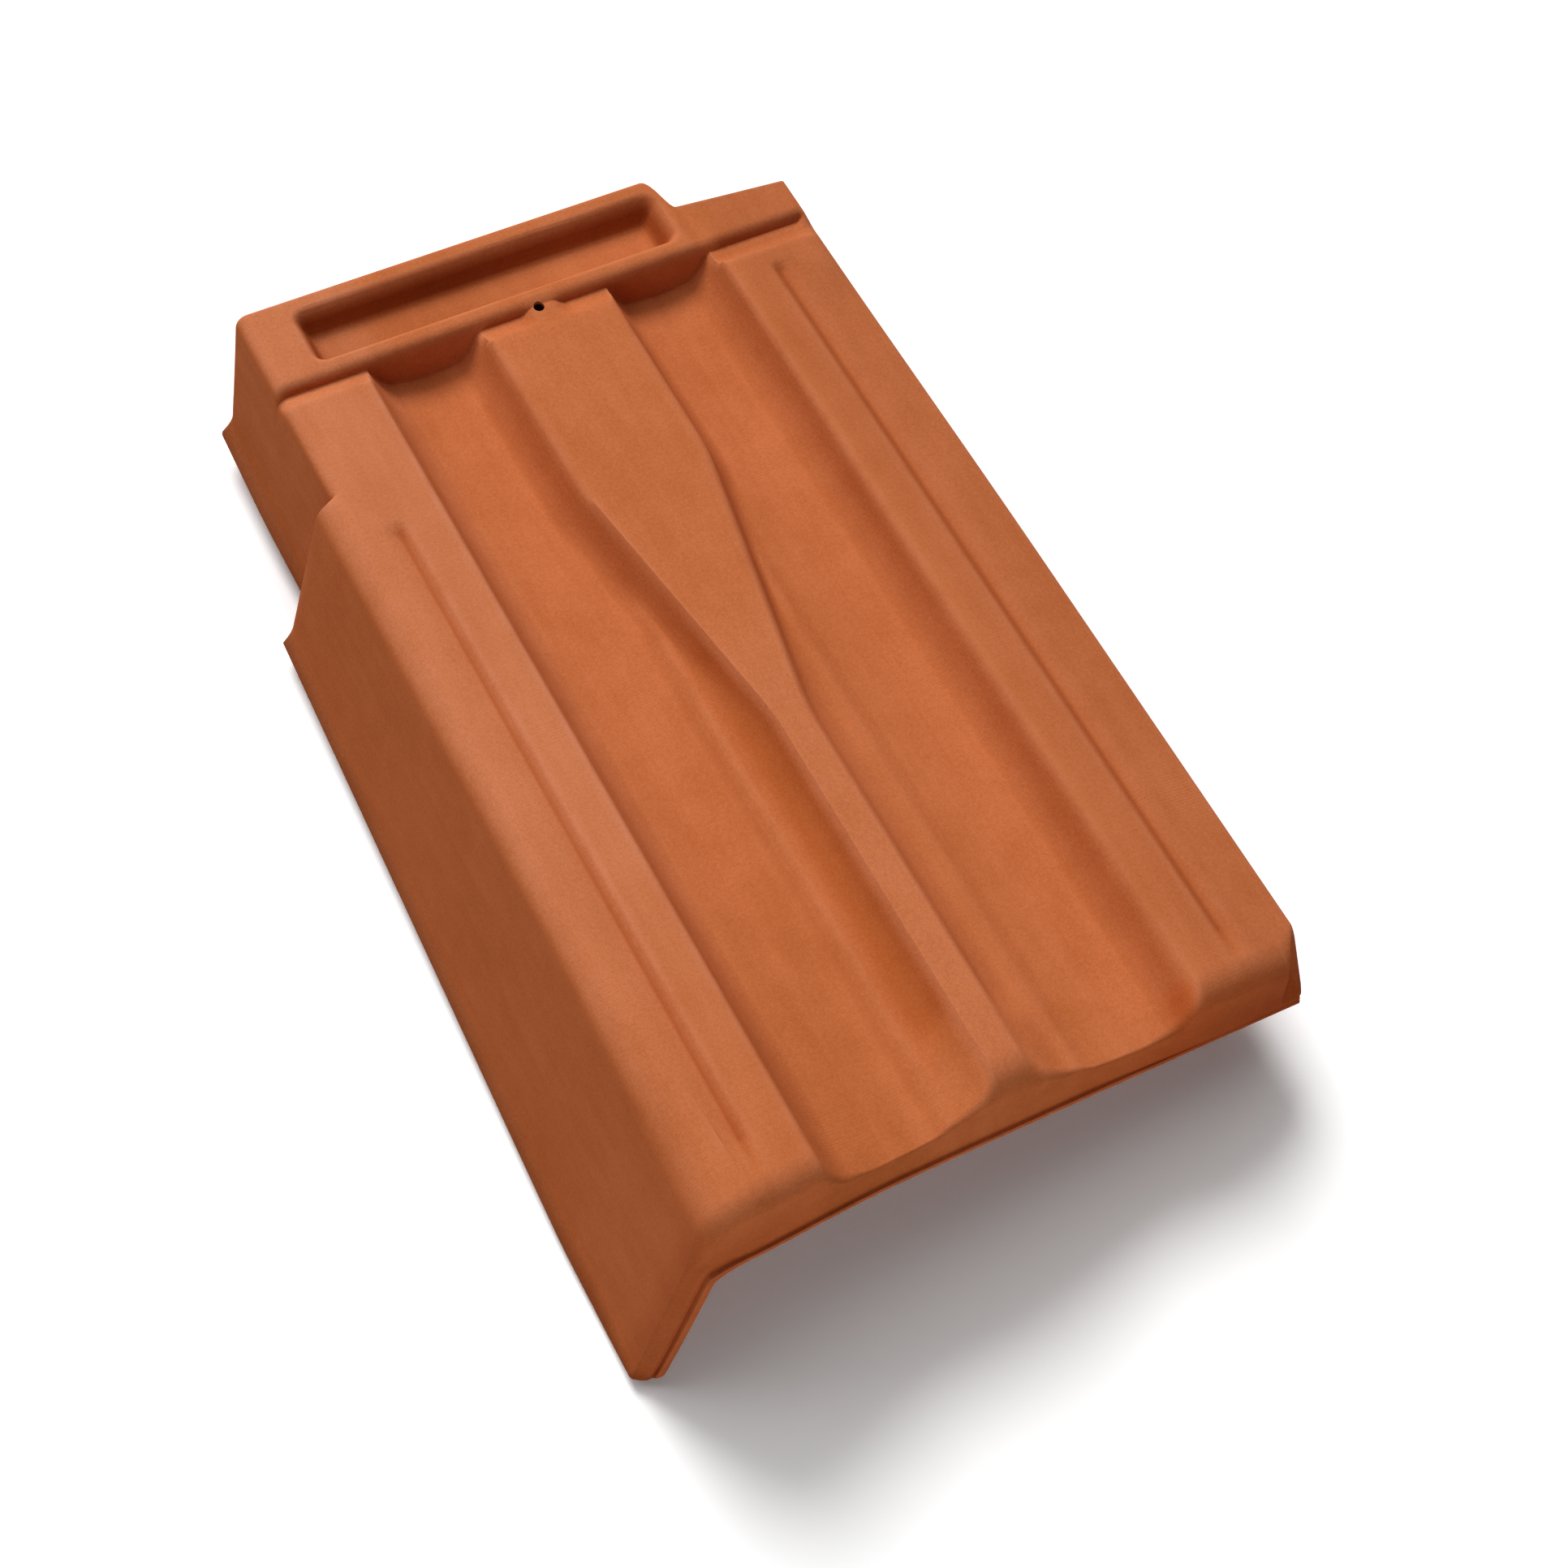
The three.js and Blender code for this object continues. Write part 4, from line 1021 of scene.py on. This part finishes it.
class Nodes:
    """Short calls that add shader nodes to one tree and link their inputs."""

    def __init__(self, tree):
        self.tree = tree

    def add(self, kind, output=0, settings=(), **values):
        """Adds a node and returns one of its outputs, or all if output is None.

        An input is named by its socket, or by its number after an underscore.
        """
        node = self.tree.nodes.new(kind)
        for name, value in settings:
            setattr(node, name, value)
        for name, value in values.items():
            socket = node.inputs[int(name[1:]) if name[1:].isdigit() else name.replace("_", " ")]
            self.put(value, socket)
        return node.outputs if output is None else node.outputs[output]

    def put(self, value, socket):
        if isinstance(value, bpy.types.NodeSocket):
            self.tree.links.new(value, socket)
        else:
            socket.default_value = value

    def noise(self, place, size, detail=2.0, roughness=0.5):
        shape = {"Scale": 1 / size, "Detail": detail, "Roughness": roughness}
        return self.add("ShaderNodeTexNoise", "Fac", Vector=place, **shape)

    def wave(self, place, size, direction, **shape):
        settings = [("bands_direction", direction)]
        shape["Scale"] = 1 / size / WAVE_REPEAT
        return self.add("ShaderNodeTexWave", "Fac", settings, Vector=place, **shape)

    def remap(self, value, low, high, start=0.0, end=1.0):
        ends = {"From_Min": low, "From_Max": high, "To_Min": start, "To_Max": end}
        return self.add("ShaderNodeMapRange", Value=value, **ends)

    def swing(self, noise, share):
        return self.remap(noise, *NOISE_RANGE, -share, share)

    def math(self, operation, a, b=0.0, c=0.0):
        return self.add("ShaderNodeMath", settings=[("operation", operation)], _0=a, _1=b, _2=c)

    def chain(self, operation, first, *others):
        for other in others:
            first = self.math(operation, first, other)
        return first

    def vector(self, operation, a, b, output=0):
        return self.add("ShaderNodeVectorMath", output, [("operation", operation)], _0=a, _1=b)

    def mask(self, measures, ramps):
        return self.chain("MULTIPLY", *[self.remap(measures[name], *span) for name, *span in ramps])

    def tint(self, colour, tint, share):
        settings = [("data_type", "RGBA"), ("blend_type", "MULTIPLY")]
        return self.add("ShaderNodeMix", 2, settings, _0=share, _6=colour, _7=tint)

    def blend(self, a, b, share):
        settings = [("data_type", "RGBA"), ("clamp_factor", True)]
        return self.add("ShaderNodeMix", 2, settings, _0=share, _6=a, _7=b)


def tile_place(nodes):
    """The shaded point in the tile's frame, in millimetres."""
    at, turn, scale = TILE.inverted().decompose()
    coordinates = nodes.add("ShaderNodeTexCoord", "Object")
    mapping = {"Location": at, "Rotation": turn.to_euler(), "Scale": scale}
    return nodes.add("ShaderNodeMapping", Vector=coordinates, **mapping)


def clay_measures(nodes, place):
    """What the masks follow: places in the tile's frame, how the surface lies and bends, broad noises."""
    across, along, above = nodes.add("ShaderNodeSeparateXYZ", None, Vector=place)
    normal = nodes.add("ShaderNodeNewGeometry", "Normal")
    up = TILE_TURN @ Vector((0, 0, 1))
    flat = nodes.vector("MULTIPLY", place, (1, 1, 0))
    over_flap_foot = nodes.math("SUBTRACT", above, nodes.math("MULTIPLY_ADD", along, FLAP_RISE, -FLAP_DEPTH))
    setback = nodes.remap(along, SETBACK_START, SETBACK_START + SETBACK_RUN, 0, -SETBACK_RISE)
    return {
        "across": across,
        "along": along,
        "above": above,
        "off_centre": nodes.math("ABSOLUTE", across),
        "over_foot": nodes.math("ADD", over_flap_foot, setback),
        "from_nail": nodes.vector("DISTANCE", flat, (NAIL_X, NAIL_Y, 0), "Value"),
        "facing_up": nodes.vector("DOT_PRODUCT", normal, up, "Value"),
        "bend": nodes.add("ShaderNodeNewGeometry", "Pointiness"),
        "patch": nodes.noise(place, PATCH_SIZE),
        "mottle": nodes.noise(place, MOTTLE_SIZE),
    }


def clay_colour(nodes, place, measures, fine):
    """Mottled clay, with a painted highlight along convex edges, painted shade in the hollows and the tints
    over it.
    """
    stretched = nodes.vector("MULTIPLY", place, (1, STREAK_STRETCH, 1))
    streak = nodes.noise(stretched, STREAK_SIZE)
    patch = nodes.swing(measures["patch"], PATCH_SWING)
    mottle = nodes.swing(measures["mottle"], MOTTLE_SWING)
    broad = nodes.chain("ADD", patch, mottle, nodes.swing(streak, STREAK_SWING))
    tone = nodes.chain("ADD", broad, fine, 0.5)
    colour = nodes.blend(CLAY_DARK, CLAY_LIGHT, tone)
    # painted highlight along convex edges
    colour = nodes.blend(colour, CLAY_EDGE_HIGHLIGHT, nodes.mask(measures, HIGHLIT_EDGES))
    # painted shade in the hollows
    colour = nodes.blend(colour, CLAY_HOLLOW_SHADE, nodes.mask(measures, SHADED_HOLLOWS))
    # painted shade: the colour is deeper on upright faces, except in the head
    outside_head = nodes.remap(nodes.mask(measures, IN_HEAD), 0, 1, 1, 0)
    sides = nodes.math("MULTIPLY", nodes.mask(measures, SHADED_UPRIGHT), outside_head)
    colour = nodes.tint(colour, CLAY_UPRIGHT_SHADE, sides)
    for tint, *masks in TINTS:
        share = nodes.chain("MAXIMUM", *[nodes.mask(measures, mask) for mask in masks])
        colour = nodes.tint(colour, tint, share)
    # painted shade inside the nail hole
    return nodes.blend(colour, CLAY_HOLE_SHADE, nodes.mask(measures, IN_NAIL_HOLE))


def clay_relief(nodes, place, measures, sand, grain):
    """Bump of grain, the press's fine ripples, and cloth marks of the press on the flat tops."""
    waves = nodes.wave(place, RIPPLE_SIZE, "Y", Distortion=3.0, Detail=2.0, Detail_Scale=0.4)
    ripple = nodes.math("MULTIPLY", waves, nodes.mask(measures, RIPPLED))
    weave = []
    for angle in (WEAVE_ANGLE, -WEAVE_ANGLE):
        axis = [("rotation_type", "Z_AXIS")]
        turned = nodes.add("ShaderNodeVectorRotate", 0, axis, Vector=place, Angle=angle)
        weave.append(nodes.wave(turned, WEAVE_SIZE, "X", Distortion=1.0))
    cloth = nodes.chain("MULTIPLY", *weave, nodes.mask(measures, FLAT_TOPS))
    grains = nodes.math("ADD", sand, nodes.math("MULTIPLY", grain, GRAIN_RELIEF))
    height = nodes.math("ADD", grains, nodes.math("ADD", ripple, cloth))
    return nodes.add("ShaderNodeBump", Height=height, Strength=BUMP_STRENGTH, Distance=BUMP_DISTANCE)


def make_clay():
    """Sandy unglazed clay."""
    material = bpy.data.materials.new("terracotta")
    material.use_nodes = True
    shader = material.node_tree.nodes["Principled BSDF"]
    nodes = Nodes(material.node_tree)
    place = tile_place(nodes)
    measures = clay_measures(nodes, place)
    sand = nodes.noise(place, SAND_SIZE, roughness=0.6)
    grain = nodes.noise(place, GRAIN_SIZE, roughness=0.7)
    fine = nodes.math("ADD", nodes.swing(sand, SAND_SWING), nodes.swing(grain, GRAIN_SWING))
    nodes.put(clay_colour(nodes, place, measures, fine), shader.inputs["Base Color"])
    nodes.put(nodes.remap(fine, -GRAIN_SWING, GRAIN_SWING, *ROUGH_FINE), shader.inputs["Roughness"])
    nodes.put(SPECULAR, shader.inputs["Specular IOR Level"])
    nodes.put(clay_relief(nodes, place, measures, sand, grain), shader.inputs["Normal"])
    return material


# ---- Floor and light ----
FLOOR_SIZE = 12
FLOOR_COLOUR = (0.85, 0.85, 0.85, 1)
FLOOR_SEEN = (1.3, 1.3, 1.3, 1)  # as a camera sees it, so that it comes out white
WHITE = (1, 1, 1, 1)
FILL_STRENGTH = 0.03
# lamps: places in metres from the middle of the tile, in its frame
LIT_PLACE = (0, 215, 0)
KEY_FROM = (0, 0.62, 0.78)
KEY_STRENGTH = 2.38
KEY_ANGLE = math.radians(26)
# name, place, power, size
SOFT_LAMPS = [
    ("soft_top", (0, 0.75, 2.38), 21, 2.4),
    ("front_card", (-0.3, -0.85, 0.1), 1.25, 0.3),
    ("front_left_card", (-0.9, -0.9, 0.1), 0.3, 0.4),
    ("left_card", (-0.7, 0.3, 0.6), 0.95, 0.5),
]


def seen_directly(nodes):
    """1 where a camera, glossy or transmission ray looks, else 0."""
    path = nodes.add("ShaderNodeLightPath", None)
    rays = ("Is Camera Ray", "Is Glossy Ray", "Is Transmission Ray")
    return nodes.chain("MAXIMUM", *[path[ray] for ray in rays])


def make_floor():
    bpy.ops.mesh.primitive_plane_add(size=FLOOR_SIZE)
    floor = bpy.context.object
    floor.name = "floor"
    material = bpy.data.materials.new("floor")
    material.use_nodes = True
    tree = material.node_tree
    tree.nodes.remove(tree.nodes["Principled BSDF"])
    nodes = Nodes(tree)
    cloth = nodes.add("ShaderNodeBsdfDiffuse", Color=FLOOR_COLOUR)
    seen = nodes.add("ShaderNodeBsdfDiffuse", Color=FLOOR_SEEN)
    both = nodes.add("ShaderNodeMixShader", _0=seen_directly(nodes), _1=cloth, _2=seen)
    nodes.put(both, tree.nodes["Material Output"].inputs["Surface"])
    floor.data.materials.append(material)


def make_world():
    world = bpy.data.worlds.new("studio")
    bpy.context.scene.world = world
    world.use_nodes = True
    tree = world.node_tree
    nodes = Nodes(tree)
    fill = tree.nodes["Background"]
    nodes.put(WHITE, fill.inputs["Color"])
    nodes.put(FILL_STRENGTH, fill.inputs["Strength"])
    backdrop = nodes.add("ShaderNodeBackground", Color=WHITE, Strength=1.0)
    both = nodes.add("ShaderNodeMixShader", _0=seen_directly(nodes), _1=fill.outputs[0], _2=backdrop)
    nodes.put(both, tree.nodes["World Output"].inputs["Surface"])


def add_lamp(name, kind, offset, energy):
    """Lamp that shines on the middle of the tile and isn't seen itself."""
    data = bpy.data.lights.new(name, kind)
    data.energy = energy
    lamp = bpy.data.objects.new(name, data)
    bpy.context.scene.collection.objects.link(lamp)
    lamp.visible_camera = False
    target = TILE @ Vector(LIT_PLACE)
    lamp.location = target + TILE_TURN @ Vector(offset)
    lamp.rotation_mode = "QUATERNION"
    lamp.rotation_quaternion = (lamp.location - target).to_track_quat("Z", "Y")
    return data


def make_light():
    key = add_lamp("key", "SUN", KEY_FROM, KEY_STRENGTH)
    key.angle = KEY_ANGLE
    for name, offset, power, size in SOFT_LAMPS:
        add_lamp(name, "AREA", offset, power).size = size


make_camera()
make_world()
make_light()
make_floor()
tile = make_tile()
tile.data.materials.append(make_clay())
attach(tile, "root")
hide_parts("verge_tile")

bpy.context.scene.view_settings.view_transform = "Standard"
